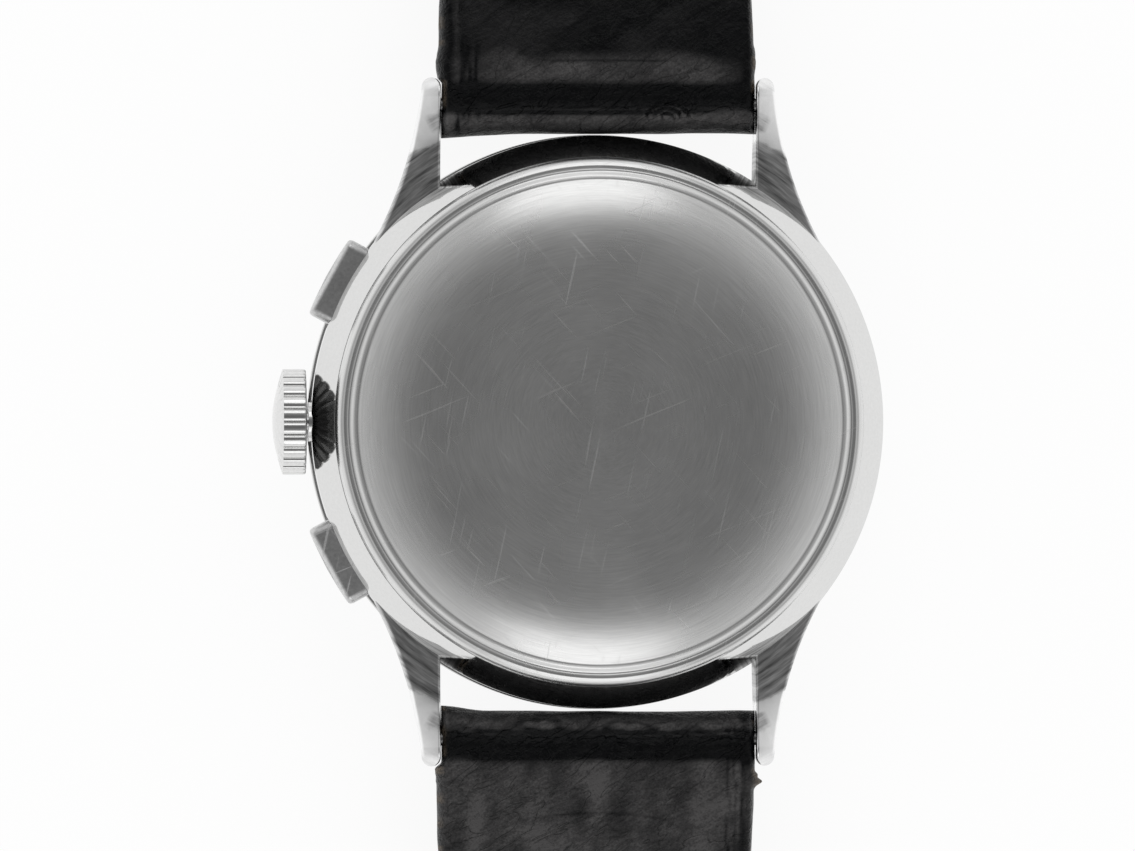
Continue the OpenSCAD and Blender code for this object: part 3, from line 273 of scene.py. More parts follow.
# Silvered dial: rays from its middle, and rings inside the two small dials
def dialMaterial(name, subDial, subRadius):
    g = Graph(name)
    marks = g.noise(1.0, 3.0, 0.6, place=g.roundPlace(60.0, 160.0)[0])
    for side in (-1, 1):
        ring, away = g.roundPlace(20000.0, 1.0, side * subDial)
        inside = g.math("LESS_THAN", away, subRadius * mm)
        sockets = {0: inside, 2: marks, 3: g.noise(1.0, place=ring)}
        marks = g.node("Mix", sockets, data_type="FLOAT").outputs[0]
    tone = g.rescale(g.weigh((marks, 0.5), (g.noise(180, 5.0), 0.5)), 0.3, 0.7)
    return g.surface(g.blend(tone, (0.62, 0.6, 0.55), (0.8, 0.78, 0.73)),
                     g.rescale(marks, 0.3, 0.7, 0.3, 0.45), (marks, 0.15, 0.00001), {"Metallic": 0.75})


# Material of two colours in fine specks
def speckledMaterial(name, scale, dark, light, rough, more=None):
    g = Graph(name)
    speck = g.noise(scale, 3.0)
    return g.surface(g.blend(speck, dark, light), g.rescale(speck, 0.3, 0.7, *rough), None, more)


steel = (0.73, 0.73, 0.725)
finish = {
    "flank": steelMaterial("polished case steel", steel, 0.05, scuffs=0.3, contrast=0.03),
    "lugs": lugMaterial("lug steel"),
    "back": steelMaterial("turned back steel", steel, 0.27, True, 1.0, 0.4, 0.3, 0.12),
    "rim": steelMaterial("turned rim steel", steel, 0.2, True, spread=0.3),
    "crown": steelMaterial("crown steel", steel, 0.16, scuffs=0.4, paintedShade=True),
    "pusher": steelMaterial("pusher steel", (0.6, 0.6, 0.6), 0.3, grainDepth=1.2, scuffs=0.9, contrast=0.16),
    "bar": steelMaterial("spring bar steel", (0.2, 0.2, 0.2), 0.35),
    "buckle": steelMaterial("buckle steel", steel, 0.18, scuffs=0.4),
    "blued": worksMaterial("blued steel", (0.03, 0.06, 0.22), 0.16),
    "brass": worksMaterial("wheel brass", (0.78, 0.55, 0.22), 0.25),
    "gilt": worksMaterial("gilt bridge", (0.8, 0.62, 0.34), 0.25, "stripes"),
    "works": worksMaterial("movement steel", (0.6, 0.6, 0.6), 0.2),
    "balance": worksMaterial("balance gilding", (0.85, 0.62, 0.28), 0.15),
    "pearl": worksMaterial("pearled plate", (0.78, 0.62, 0.36), 0.3, "pearled"),
    "leather": leatherMaterial("black strap leather", (0.0008, 0.001, 0.0014), (0.062, 0.06, 0.06), 0.25),
    "keeper": leatherMaterial("keeper leather", (0.003, 0.0033, 0.004), (0.034, 0.035, 0.038), 0.36),
    "crystal": crystalMaterial("acrylic"),
    "ink": speckledMaterial("dial ink", 6000, (0.01, 0.01, 0.012), (0.03, 0.03, 0.034), (0.35, 0.55)),
    "ruby": speckledMaterial("ruby", 2500, (0.45, 0.01, 0.06), (0.75, 0.03, 0.12), (0.03, 0.09),
                             {"Transmission Weight": 0.5, "IOR": 1.76}),
}
print("finishes made")


# Meshes put together, with equal points joined, slivers dissolved and normals turned outward
def weld(meshes, target, reach, dissolve=True):
    work = bmesh.new()
    for mesh in meshes:
        work.from_mesh(mesh)
    bmesh.ops.remove_doubles(work, verts=work.verts, dist=reach)
    if dissolve:
        bmesh.ops.dissolve_degenerate(work, edges=work.edges, dist=1e-8)
    bmesh.ops.recalc_face_normals(work, faces=work.faces)
    work.to_mesh(target)
    work.free()


# Quads between neighbouring points of every grid, joined where their points meet.
# Each patch is (points, uv, tone, raw); uv, tone and raw may be left out.
def makePiece(name, patches, material, sharp=35):
    corners, quads, uvs, tones, raws, start = [], [], [], [], [], 0
    for patch in patches:
        points = patch[0]
        rows, cols = points.shape[:2]
        i, j = np.meshgrid(np.arange(rows - 1), np.arange(cols - 1), indexing="ij")
        first = (start + i * cols + j).ravel()
        quads.append(np.stack([first, first + 1, first + cols + 1, first + cols], axis=1))
        corners.append(points.reshape(-1, 3))
        flat = np.stack(np.meshgrid(np.linspace(0, 1, rows), np.linspace(0, 1, cols),
                                    indexing="ij"), axis=-1)
        uvs.append((patch[1] if len(patch) > 1 else flat).reshape(-1, 2))
        none = np.zeros(rows * cols)
        tones.append(patch[2].ravel() if len(patch) > 2 else none)
        raws.append(patch[3].ravel() if len(patch) > 3 else none)
        start += rows * cols
    corners, quads, uvs = np.concatenate(corners) * mm, np.concatenate(quads), np.concatenate(uvs)
    mesh = bpy.data.meshes.new(name)
    mesh.from_pydata(corners.tolist(), [], quads.tolist())
    layer = mesh.uv_layers.new(name="surface")
    layer.data.foreach_set("uv", uvs[quads.ravel()].ravel())
    for key, values in (("tone", tones), ("raw", raws)):
        made = mesh.attributes.new(key, "FLOAT", "POINT")
        made.data.foreach_set("value", np.concatenate(values).astype(np.float32))
    weld([mesh], mesh, 2e-7)
    mesh.shade_smooth()
    mesh.set_sharp_from_angle(angle=math.radians(sharp))
    mesh.materials.append(material)
    piece = bpy.data.objects.new(name, mesh)
    scene.collection.objects.link(piece)
    return piece


# Mesh of an object as it stands, with its modifiers or its text worked out
def finalMesh(thing):
    bpy.context.view_layer.update()
    return bpy.data.meshes.new_from_object(thing.evaluated_get(bpy.context.evaluated_depsgraph_get()))


# Takes the cutter's shape out of the piece
def cutWith(piece, cutter, sharp=35):
    change = piece.modifiers.new("cut", "BOOLEAN")
    change.object, change.solver, change.operation = cutter, "EXACT", "DIFFERENCE"
    done = finalMesh(piece)
    piece.modifiers.clear()
    old = piece.data
    piece.data = done
    done.name = old.name
    bpy.data.meshes.remove(old)
    bpy.data.objects.remove(cutter)
    done.shade_smooth()
    done.set_sharp_from_angle(angle=math.radians(sharp))


def dress(piece, body, node):
    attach(piece, body)
    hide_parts(node)
    return piece


# Corners of a closed outline turned into arcs of the given radii
def roundCorners(corners, radii, steps=6):
    made = []
    points = [np.array(c, float) for c in corners]
    for p, before, after, r in zip(points, points[-1:] + points[:-1], points[1:] + points[:1], radii):
        if r == 0:
            made.append(p[None])
            continue
        u = (before - p) / np.linalg.norm(before - p)
        v = (after - p) / np.linalg.norm(after - p)
        half = math.acos(np.clip(u @ v, -1, 1)) / 2
        centre = p + (u + v) / np.linalg.norm(u + v) * r / math.sin(half)
        first, last = (math.atan2(*(p + side * r / math.tan(half) - centre)[::-1]) for side in (u, v))
        last = first + (last - first + math.pi) % tau - math.pi
        angle = np.linspace(first, last, steps + 1)
        made.append(centre + r * np.stack([np.cos(angle), np.sin(angle)], axis=1))
    return np.concatenate(made)


# Points on the short way round from one angle to another, in degrees
def arcPoints(centre, radius, first, last, steps):
    angle = np.radians(np.linspace(first, last, steps + 1))
    return np.stack([centre[0] + radius * np.cos(angle), centre[1] + radius * np.sin(angle)], axis=1)


# Profile of (radius, height) turned about the z axis: (r cos a, r sin a, z).
# u runs along the profile and v round the axis.
def turnProfile(profile, columns=256, closed=True):
    line = np.vstack([profile, profile[:1]]) if closed else np.array(profile)
    angle = np.linspace(0, tau, columns + 1)[None, :]
    r, z = line[:, 0][:, None], line[:, 1][:, None]
    points = np.stack([r * np.cos(angle), r * np.sin(angle), z + 0 * angle], axis=-1)
    run = np.concatenate([[0], np.cumsum(np.linalg.norm(np.diff(line, axis=0), axis=1))])
    uv = np.stack([run[:, None] / 20 + 0 * angle, angle / tau + 0 * r], axis=-1)
    return points, uv


# Turned shape with its axis along x: heights of the profile become x
def alongX(patch, centre):
    points, uv = patch
    moved = np.stack([points[..., 2], points[..., 0], points[..., 1]], axis=-1)
    return moved + np.array(centre), uv


# Rounded rectangles of changing half sizes: rows of closed loops in two dimensions
def roundLoops(halfA, halfB, radius, steps=6):
    halfA, halfB, radius = (np.asarray(v, float)[:, None] for v in (halfA, halfB, radius))
    angle = np.radians(np.concatenate([np.linspace(q * 90, q * 90 + 90, steps + 1) for q in range(4)]))
    signA = np.repeat([1, -1, -1, 1], steps + 1)[None, :]
    signB = np.repeat([1, 1, -1, -1], steps + 1)[None, :]
    a = signA * (halfA - radius) + radius * np.cos(angle)[None, :]
    b = signB * (halfB - radius) + radius * np.sin(angle)[None, :]
    loop = np.stack([a, b], axis=-1)
    return np.concatenate([loop, loop[:, :1]], axis=1)


# Smooth noise from -1 to 1: random values on a square lattice, eased by 3t^2 - 2t^3 both ways
def softNoise(x, y, cell, seed):
    values = np.random.default_rng(seed).uniform(-1, 1, (64, 64))
    ix, iy = np.floor(x / cell).astype(int), np.floor(y / cell).astype(int)
    tx, ty = x / cell - ix, y / cell - iy
    tx, ty = tx * tx * (3 - 2 * tx), ty * ty * (3 - 2 * ty)
    low = values[ix % 64, iy % 64] * (1 - tx) + values[(ix + 1) % 64, iy % 64] * tx
    high = values[ix % 64, (iy + 1) % 64] * (1 - tx) + values[(ix + 1) % 64, (iy + 1) % 64] * tx
    return low * (1 - ty) + high * ty


# 3t^2 - 2t^3 between 0 and 1
def ease(t):
    t = np.clip(t, 0, 1)
    return t * t * (3 - 2 * t)


def turnAbout(points, degrees):
    a = math.radians(degrees)
    turn = np.array([[math.cos(a), -math.sin(a), 0], [math.sin(a), math.cos(a), 0], [0, 0, 1]])
    return points @ turn.T


# Middle of the circle through two points, on the left of the way from a to b
def arcMiddle(a, b, r):
    half = np.linalg.norm(b - a) / 2
    side = np.array([-(b - a)[1], (b - a)[0]]) / (2 * half)
    return (a + b) / 2 + side * math.sqrt(r * r - half * half)


# Rows of loops closed by a point at either end
def closeEnds(points):
    first, last = (np.repeat(points[k].mean(axis=0)[None, None], points.shape[1], axis=1) for k in (0, -1))
    return np.concatenate([first, points, last])


# Case ring, with pockets for the pushers and a hole for the crown tube. Ledges are (radius, height).
caseLook = {"radius": 17.95, "proud": 0.2, "bevelRadius": 16.0, "bevelWidth": 1.4, "bevelHeight": 1.75,
            "inside": ((14.7, 3.0), (14.7, 3.7), (15.6, 3.7), (15.6, 10.3), (15.9, 10.3)),
            "foot": ((4.2, 5.0), 16.4), "round": 0.14, "pusherTurn": 28.5, "pocket": (2.75, 1.25, 0.45),
            "pocketSpan": (16.85, 19.85), "tube": 1.26, "tubeSpan": (-19, -15)}
crownLow, crownHigh = span("crown")
axisZ = (crownLow[2] + crownHigh[2]) / 2
flank = caseLook["radius"] + caseLook["proud"]
bevelTop = span("case_back")[0][2]


# Rounded slope between the case wall and its back
def bevelArc():
    a = np.array([flank, bevelTop - caseLook["bevelHeight"]])
    b = np.array([flank - caseLook["bevelWidth"], bevelTop])
    centre = arcMiddle(a, b, caseLook["bevelRadius"])
    first, last = (math.degrees(math.atan2(*(p - centre)[::-1])) for p in (a, b))
    return arcPoints(centre, caseLook["bevelRadius"], first, last, 16)


# Turned shape on the axis of the crown and the pushers
def rodAlongX(profile, columns):
    return alongX(turnProfile(np.array(profile), columns, False), (0, 0, axisZ))


def makeCase():
    inside, (heights, footR) = caseLook["inside"], caseLook["foot"]
    low = roundCorners([*inside, (inside[-1][0], bevelTop)], [0.05] * 5 + [0.02], 3)
    arc = bevelArc()[::-1]
    turn = roundCorners([arc[-3], arc[-1], (flank, heights[1])], [0, caseLook["round"], 0], 5)[1:-1]
    end = roundCorners([(flank, heights[1]), (flank, heights[0]), (footR, heights[0]), (footR, inside[0][1])],
                       [0, 0.05, 0.02, 0.05], 3)
    piece = makePiece("caseRing", [turnProfile(np.vstack([low, arc[:-2], turn, end]), 288)], finish["flank"])
    keep = np.array([0.001, 1, 1, 0.001])
    loops = roundLoops(*(size * keep for size in caseLook["pocket"]), 5)
    depth = np.repeat(caseLook["pocketSpan"], 2)[:, None, None]
    pocket = np.concatenate([depth + 0 * loops[..., :1], loops + np.array([0, axisZ])], axis=-1)
    boxes = [(turnAbout(pocket, 180 - side * caseLook["pusherTurn"]),) for side in (1, -1)]
    tube, (first, last) = caseLook["tube"], caseLook["tubeSpan"]
    boxes.append(rodAlongX([(0, first), (tube, first), (tube, last), (0, last)], 48))
    cutWith(piece, makePiece("pocketCutter", boxes, finish["flank"]))
    return dress(piece, "case", "case_middle")


lugLook = {"arcRadius": 25.6, "arcCentre": (36.65, 23.53), "inner": 10.0, "innerRadius": 16.6,
           "tip": (10.577, 21.22, 0.577), "under": (11.93, 18.5, 14.2), "topRadius": 32.0,
           "sideTip": (20.65, 8.3, 1.15), "root": 9.6, "rootTop": (11.5, 8.3), "corner": 0.2,
           "leanRoot": 0.1, "leanTip": 0.62, "leanFrom": 16.6, "leanOver": 1.4}


# A lug is a stack of rounded rectangles along y between its outline from above and from the side
def makeLugs():
    look, reach, dense = lugLook, span("case_middle")[1][1], 20.4
    y = np.concatenate([np.linspace(look["root"], dense, 40)[:-1],
                        dense + (reach - dense) * np.sin(np.linspace(0, math.pi / 2, 20))])
    cx, cy = look["arcCentre"]
    tipX, tipY, tipR = look["tip"]
    nose = np.sqrt(np.clip(tipR ** 2 - np.clip(y - tipY, 0, None) ** 2, 0, None))
    outer = np.where(y < tipY, cx - np.sqrt(look["arcRadius"] ** 2 - (cy - y) ** 2), tipX + nose)
    ring = np.sqrt(np.clip(look["innerRadius"] ** 2 - y ** 2, 0, None))
    inner = np.where(y < tipY, np.maximum(look["inner"], ring), tipX - nose)
    uy, uz, ur = look["under"]
    sy, sz, sr = look["sideTip"]
    r = look["topRadius"]
    ty, tz = arcMiddle(np.array(look["rootTop"]), np.array([sy, sz + sr]), r)
    drop = np.sqrt(np.clip(sr ** 2 - np.clip(y - sy, 0, None) ** 2, 0, None))
    high = np.where(y < sy, tz - np.sqrt(r * r - (y - ty) ** 2), sz + drop)
    low = np.where(y < sy, uz - np.sqrt(ur ** 2 - (y - uy) ** 2), sz - drop)
    low = np.minimum(low, high - 0.001)
    halfX, halfZ = np.maximum((outer - inner) / 2, 0.001), np.maximum((high - low) / 2, 0.001)
    loops = roundLoops(halfX, halfZ, np.minimum(look["corner"], np.minimum(halfX, halfZ) * 0.9), 5)
    out = np.clip(loops[..., 0] / halfX[:, None], -1, 1) / 2 + 0.5
    share = ease((y - look["leanFrom"]) / look["leanOver"])
    lean = look["leanRoot"] + (look["leanTip"] - look["leanRoot"]) * share
    loops[..., 1] -= np.clip(loops[..., 1] / halfZ[:, None], 0, 1) * out * np.minimum(lean, halfZ)[:, None]
    loops = loops + np.stack([(outer + inner) / 2, (high + low) / 2], axis=-1)[:, None, :]
    points = closeEnds(np.stack([loops[..., 0], y[:, None] + 0 * loops[..., 0], loops[..., 1]], axis=-1))
    patches = [(points * np.array([mx, my, 1]),) for mx in (1, -1) for my in (1, -1)]
    return dress(makePiece("caseLugs", patches, finish["lugs"], 30), "case", "case_middle")


makeCase()
makeLugs()
print("case made")

bezelLook = {"neck": 15.9, "step": 3.3, "proud": 0.12, "top": (16.4, 3.0)}


def makeBezel():
    low, high = span("bezel")
    r, inner = high[0] + bezelLook["proud"], span("crystal")[1][0]
    topR, topZ = bezelLook["top"]
    profile = roundCorners([(inner, topZ), (inner, low[2]), (bezelLook["neck"], low[2]),
                            (r, bezelLook["step"]), (r, high[2]), (topR, high[2]), (topR, topZ)],
                           [0.02, 0.1, 0.25, 0.5, 0.12, 0.02, 0.02], 6)
    piece = makePiece("bezelRing", [turnProfile(profile, 288)], finish["rim"])
    return dress(piece, "case", "bezel")


crystalLook = {"edge": 2.4, "wall": 1.0}


def makeCrystal():
    low, high = span("crystal")
    r, top, bottom = high[0], high[2], low[2]
    edge, wall = crystalLook["edge"], crystalLook["wall"]
    centre = (r - edge, bottom + edge)
    profile = np.vstack([[(0, bottom)], arcPoints(centre, edge, -90, 0, 20), [(r, top), (r - wall, top)],
                         arcPoints(centre, edge - wall, 0, -90, 14), [(0, bottom + wall)]])
    piece = makePiece("crystalDome", [turnProfile(profile, 192, False)], finish["crystal"])
    return dress(piece, "case", "crystal")


backLook = {"flat": 8.0, "fall": 3.2, "top": 12.2,
            "rim": ((15.12, 11.15), (15.28, 11.075), (15.42, 11.05), (15.58, 11.0), (15.76, 10.87),
                    (15.88, 10.83), (16.0, 10.86), (16.16, 10.87), (16.27, 10.83), (16.42, 10.76),
                    (16.6, 10.56), (16.72, 10.25)),
            "under": ((15.9, 10.3), (14.7, 10.3), (14.7, 11.0), (0, 11.3))}


# Smooth curve through the given points: a cubic between each two, whose slope at a point is
# that between its neighbours
def throughPoints(points, steps):
    p = np.array(points, float)
    p = np.vstack([2 * p[0] - p[1], p, 2 * p[-1] - p[-2]])
    t = np.linspace(0, 1, steps, endpoint=False)[:, None]
    parts = [0.5 * (2 * b + (c - a) * t + (2 * a - 5 * b + 4 * c - d) * t ** 2 +
                    (3 * b - a - 3 * c + d) * t ** 3)
             for a, b, c, d in zip(p[:-3], p[1:-2], p[2:-1], p[3:])]
    return np.vstack(parts + [p[-2:-1]])


# Snap-on back: flat in the middle, falling away as a power of the radius, then a shallow
# grooved rim
def makeBack():
    low, high = span("case_back")
    look, flat, top = backLook, backLook["flat"], high[2]
    rim = throughPoints(look["rim"], 5) + np.array([0, top - look["top"]])
    part = np.linspace(0, 1, 40)[1:-1]
    plate = np.stack([np.linspace(0, flat, 30), np.full(30, top)], axis=1)
    shoulder = np.stack([flat + (rim[0, 0] - flat) * part,
                         top - (top - rim[0, 1]) * part ** look["fall"]], axis=1)
    under = [(rim[-1, 0], low[2]), (look["under"][0][0], low[2]), *look["under"]]
    profile = np.vstack([plate, shoulder, rim, under])
    piece = makePiece("caseBack", [turnProfile(profile, 320, False)], finish["back"], 28)
    return dress(piece, "case", "case_back")


makeBezel()
makeCrystal()
makeBack()
print("bezel, crystal and back made")

crownLook = {"fingers": 24, "height": 0.26, "domeRadius": 7.7, "tipLength": 0.4, "tipLap": 0.1, "bevel": 0.12,
             "power": 2.6}


# The cap is a turned dome on a drum, and each finger stands on it with height
# h = H * sqrt(1 - |u|^power - v^2), where u runs across the finger and v along its rounded tip
def makeCrown():
    look, r = crownLook, crownHigh[1]
    rimR = r - look["height"]
    back, apex = -crownHigh[0], -crownLow[0]
    centre = apex - look["domeRadius"]
    rimT = centre + math.sqrt(look["domeRadius"] ** 2 - rimR ** 2)
    domeR = rimR * np.cos(np.linspace(0, math.pi / 2, 30))[1:]
    domeR[-1] = 0
    t = np.concatenate([np.linspace(back, rimT, 20), centre + np.sqrt(look["domeRadius"] ** 2 - domeR ** 2)])
    base = np.concatenate([np.full(20, rimR), domeR])
    step = tau / look["fingers"]
    angle = np.linspace(0, tau, look["fingers"] * 16 + 1)[None, :]
    across = np.abs((angle % step) - step / 2) / (step / 2)
    along = np.clip((t - rimT + look["tipLap"]) / look["tipLength"], 0, None)
    along = along + np.clip((back + look["bevel"] - t) / look["bevel"], 0, 1) * 0.8
    stand = np.sqrt(np.clip(1 - across ** look["power"] - along[:, None] ** 2, 0, 1))
    radius = base[:, None] + look["height"] * stand * np.clip(base / rimR, 0, 1)[:, None]
    radius = np.vstack([0 * radius[:1], radius])
    t = np.concatenate([t[:1], t])[:, None] + 0 * angle
    points = np.stack([-t, radius * np.cos(angle), radius * np.sin(angle) + axisZ], axis=-1)
    # The back face, which faces the case, gets painted shade through the raw attribute
    paintedShade = np.zeros(t.shape)
    paintedShade[:2] = 1.0
    patch = (points, np.stack([t, angle + 0 * t], axis=-1), 0 * paintedShade, paintedShade)
    return dress(makePiece("crownCap", [patch], finish["crown"], 40), "crown", "crown")


pusherLook = {"halfWidth": 2.7, "halfHeight": 1.2, "out": 19.5, "back": 17.75, "corner": 0.55, "edge": 0.32,
              "sideEdge": 0.16, "backEdge": 0.08, "shank": 0.6, "shankEnd": 13.9, "shankTop": 18.2}


# Cap: rounded rectangles shrinking at both ends, pushed out to the arc of its face
def makePusher(name, side, node):
    look = pusherLook
    e, lip = look["edge"], look["backEdge"]
    angle = np.linspace(0, math.pi / 2, 8)
    round1, round2 = 1 - np.sin(angle), 1 - np.cos(angle)
    insetY = np.concatenate([[1.15, 0.6], lip * round1, look["sideEdge"] * round2, [0.7, 1.2]])
    insetZ = np.concatenate([[1.15, 0.6], lip * round1, e * round2, [0.7, 1.15]])
    depth = np.concatenate([[0, 0], lip * round2, np.ones(10)])
    back = np.concatenate([np.zeros(10), e * round1, [0, 0]])
    loops = roundLoops(look["halfWidth"] - insetY, look["halfHeight"] - insetZ,
                       np.maximum(look["corner"] - insetZ, 0.04), 6)
    y, z = loops[..., 0], loops[..., 1]
    face = np.sqrt(look["out"] ** 2 - y ** 2)
    r = np.where(depth[:, None] < 1, look["back"] + depth[:, None], face - back[:, None])
    cap = closeEnds(np.stack([r, y, z + axisZ], axis=-1))
    cap[0, :, 0], cap[-1, :, 0] = look["back"], look["out"]
    shank, low, high = look["shank"], look["shankEnd"], look["shankTop"]
    points, uv = rodAlongX([(0, low), (shank, low), (shank, high), (0, high)], 40)
    turn = 180 - side * caseLook["pusherTurn"]
    patches = [(turnAbout(cap, turn),), (turnAbout(points, turn), uv)]
    return dress(makePiece(name, patches, finish["pusher"], 30), node, node)


makeCrown()
makePusher("startPusherCap", 1, "start_pusher")
makePusher("resetPusherCap", -1, "reset_pusher")
print("crown and pushers made")

barLook = {"tube": 0.9, "tip": 0.45, "tubeHalf": 9.6, "tipHalf": 10.8}


# Turned bar along x in the middle of its node's box
def makeBar(name, body, node, corners, radii, columns, material):
    low, high = span(node)
    shape = roundCorners(corners, radii, 4)
    shape[0, 0] = shape[-1, 0] = 0
    centre = (0, (low[1] + high[1]) / 2, (low[2] + high[2]) / 2)
    piece = makePiece(name, [alongX(turnProfile(shape, columns, False), centre)], material)
    return dress(piece, body, node)


t, p, a, b = barLook["tube"], barLook["tip"], barLook["tubeHalf"], barLook["tipHalf"]
barShape = [(0.001, -b), (p, -b), (p, -a), (t, -a), (t, a), (p, a), (p, b), (0.001, b)]
for name, node in (("springBarTop", "spring_bar_12"), ("springBarBottom", "spring_bar_6")):
    makeBar(name, "case", node, barShape, [0, 0.15, 0.05, 0.12, 0.12, 0.05, 0.15, 0], 48,
            finish["bar"])

strapLook = {"width": 19.9, "endWidth": 16.0, "thick": 2.6, "endThick": 1.8, "fold": 1.72, "barY": 20.05,
             "barZ": 8.2, "drop": 26.0, "valley": 0.3, "edge": 0.45, "shade": 9.0, "tip": 8.0, "end": 0.9,
             "holes": 7, "holeFirst": 22, "holeStep": 6.5, "slotHalf": (1.4, 2.7), "slotCorner": 0.7}


# Bell curve round a centre; power 4 gives it a flat top
def bell(value, centre, width, power=2):
    return np.exp(-((value - centre) / width) ** power)


# Hollow or ridge along a curved line: depth times exp(-(distance / width)^2), faded at its ends
def crease(x, y, x0, x1, height, bow, depth, width):
    t = (x - (x0 + x1) / 2) / ((x1 - x0) / 2)
    return -depth * bell(y, height - bow * t * t, width) * ease((1.15 - np.abs(t)) / 0.4)


# Almond-shaped wrinkle: a hollow ring round a small swelling
def almond(x, y, cx, cy, a, b, depth):
    d = np.sqrt(((x - cx) / a) ** 2 + ((y - cy) / b) ** 2)
    return depth * (0.6 * bell(d, 0, 0.55) - bell(d, 1, 0.3))


# Grooves that run along the strap, waving a little
def grooves(x, y, places, depth, pace, shift):
    return -depth * sum(bell(x - 0.08 * np.sin(y * pace + at * shift), at, wide) for at, wide in places)


# Torn fibres along the edges, in patches
def tornEdge(x, y, seed, row):
    return 0.8 * ease((np.abs(x) - 9.55) / 0.3) * ease(softNoise(np.sign(x) * row, y, 0.5, seed) * 2 - 0.7)


# Surface marks of the half at 12 o'clock: height, tone and torn fibres, from x and distance y
def marksTop(x, y):
    h = sum(crease(x, y, *line) for line in ((-3.4, 4.6, 22.85, 0.05, 0.05, 0.08),
                                             (-8.0, 7.5, 19.62, -0.1, 0.10, 0.16),
                                             (-9.2, 9.4, 21.15, 0.1, 0.06, 0.22)))
    # Half-moon wrinkle, then the turned-in edge, its grooves and slanting strokes
    moon = np.sqrt(((x - 4.3) / 1.5) ** 2 + ((y - 19.3) / 1.1) ** 2)
    h += 0.068 * np.sin(moon * 20) * ease((1.1 - moon) / 0.2) * ease((y - 19.1) / 0.3)
    h += 0.10 * ease((-8.75 - x) / 0.25) * ease((y - 19.0) / 0.8)
    h += grooves(x, y, ((-8.65, 0.12), (-8.2, 0.11), (-7.75, 0.12)), 0.07, 1.7, 5) * \
        ease((y - 18.9) / 0.8) * ease((24.6 - y) / 1.5)
    for k in range(14):
        pick = np.random.default_rng(40 + k).uniform(0, 1, 5)
        dx, dy, slope = x + 7 - 14 * pick[0], y - 21.6 - 5.5 * pick[1], 0.5 + 0.8 * pick[2]
        h -= 0.03 * bell(dy - slope * dx, 0, 0.13) * bell(dx + slope * dy, 0, 1.0 + 1.5 * pick[3])
    # Roll at the end by the lug
    h += 0.16 * bell(x, -9.55, 0.3) * ease((21.0 - y) / 0.8)
    h -= 0.14 * bell(x, -9.0, 0.13) * ease((20.8 - y) / 0.8)
    # Painted highlight on the crest of the fold, painted shade in the valley, painted sheen on the band
    tone = 0.62 * bell(y, 19.3, 0.55) - 0.25 * bell(y, 20.6, 0.75, 4)
    tone -= 0.12 * ease(softNoise(x + 3, y, 1.3, 8) * 1.4 - 0.1) * bell(y, 20.3, 0.8)
    band = ease(y - 20.9 - 0.15 * softNoise(x, 0 * x, 1.6, 61))
    band = band * ease((23.6 + 0.4 * softNoise(x, 0 * x, 2.0, 62) - y) / 1.1)
    tone += band * (0.5 + 0.22 * softNoise(x, y, 1.5, 63)) * ease((9.9 - np.abs(x)) / 4)
    tone += 0.1 * softNoise(x, y * 1.6, 2.4, 66) * ease(y - 22.5)
    return h, tone - 0.25 * ease(np.abs(x) - 8.8), tornEdge(x, y, 3, 5)


# Surface marks of the half at 6 o'clock, with y counted away from the middle
def marksBottom(x, y):
    h = sum(crease(x, y, *line) for line in ((-4.8, 4.6, 24.75, -0.45, 0.03, 0.1),
                                             (-9.0, 8.7, 19.65, 0.1, 0.09, 0.16),
                                             (-9.2, 9.0, 21.2, -0.08, 0.07, 0.2)))
    bent = y + 0.12 * softNoise(x, y, 0.5, 91)
    for place in ((-3.7, 19.15, 1.4, 0.3, 0.05), (1.9, 19.3, 1.5, 0.3, 0.05), (1.7, 20.9, 0.8, 0.22, 0.07)):
        h += almond(x, bent, *place)
    h += 0.035 * softNoise(x, bent * 2, 0.45, 92) * bell(y, 19.6, 0.9, 4)
    h += grooves(x, y, ((8.65, 0.12), (8.2, 0.11), (9.15, 0.1)), 0.06, 1.9, 3) * ease((y - 19.0) / 0.8)
    h += 0.05 * ease((x - 8.95) / 0.3)
    h += 0.035 * softNoise(x, y * 0.4, 1.1, 21) * ease(y - 21)
    # Painted highlight on the crest of the fold, painted shade in the valley, painted sheen on the body and a
    # dark strip along the edge
    tone = 0.5 * bell(y, 19.25, 0.55) - 0.25 * bell(y, 20.5, 0.7, 4)
    tone -= 0.15 * ease(np.sin(x * 2.1 + 0.6) * 1.2 - 0.3) * bell(y, 20.45, 0.4)
    body = 0.85 + 0.3 * softNoise(x, y * 0.25, 1.3, 9) + 0.2 * softNoise(x, y, 1.0, 10)
    tone += 0.66 * ease((y - 20.75 - 0.22 * softNoise(x, 0 * x, 1.2, 71)) / 1.2) * body
    tone -= 0.5 * ease((x - 8.85) / 0.2)
    return h, tone, bell(x, -10.0, 0.25) * bell(y, 19.95, 0.35) + tornEdge(x, y, 4, 7)


# What differs between the halves. Steps and tufts of the ragged edge are (height, place, width);
# the fold's line is (start, bend, from x, over x, cell of its noise, seed).
topLook = {"marks": marksTop, "rag": 0.6, "seeds": (12, 5), "leftStep": (0.27, 21.4, 0.4),
           "leftTuft": (0.2, 22.7, 0.8), "rightTuft": (0.17, 22.9, 0.8), "rightBase": 0.04,
           "fold": (0.06, 0.3, 4, 6, 2.0, 51)}
bottomLook = {"marks": marksBottom, "rag": 0.65, "seeds": (15, 6), "leftStep": (0.33, 21.5, 0.5),
              "leftTuft": (0.1, 22.2, 0.6), "rightTuft": (0.55, 22.7, 0.45), "rightBase": 0.03,
              "fold": (0.02, 0.35, 7, 3, 2.2, 52)}


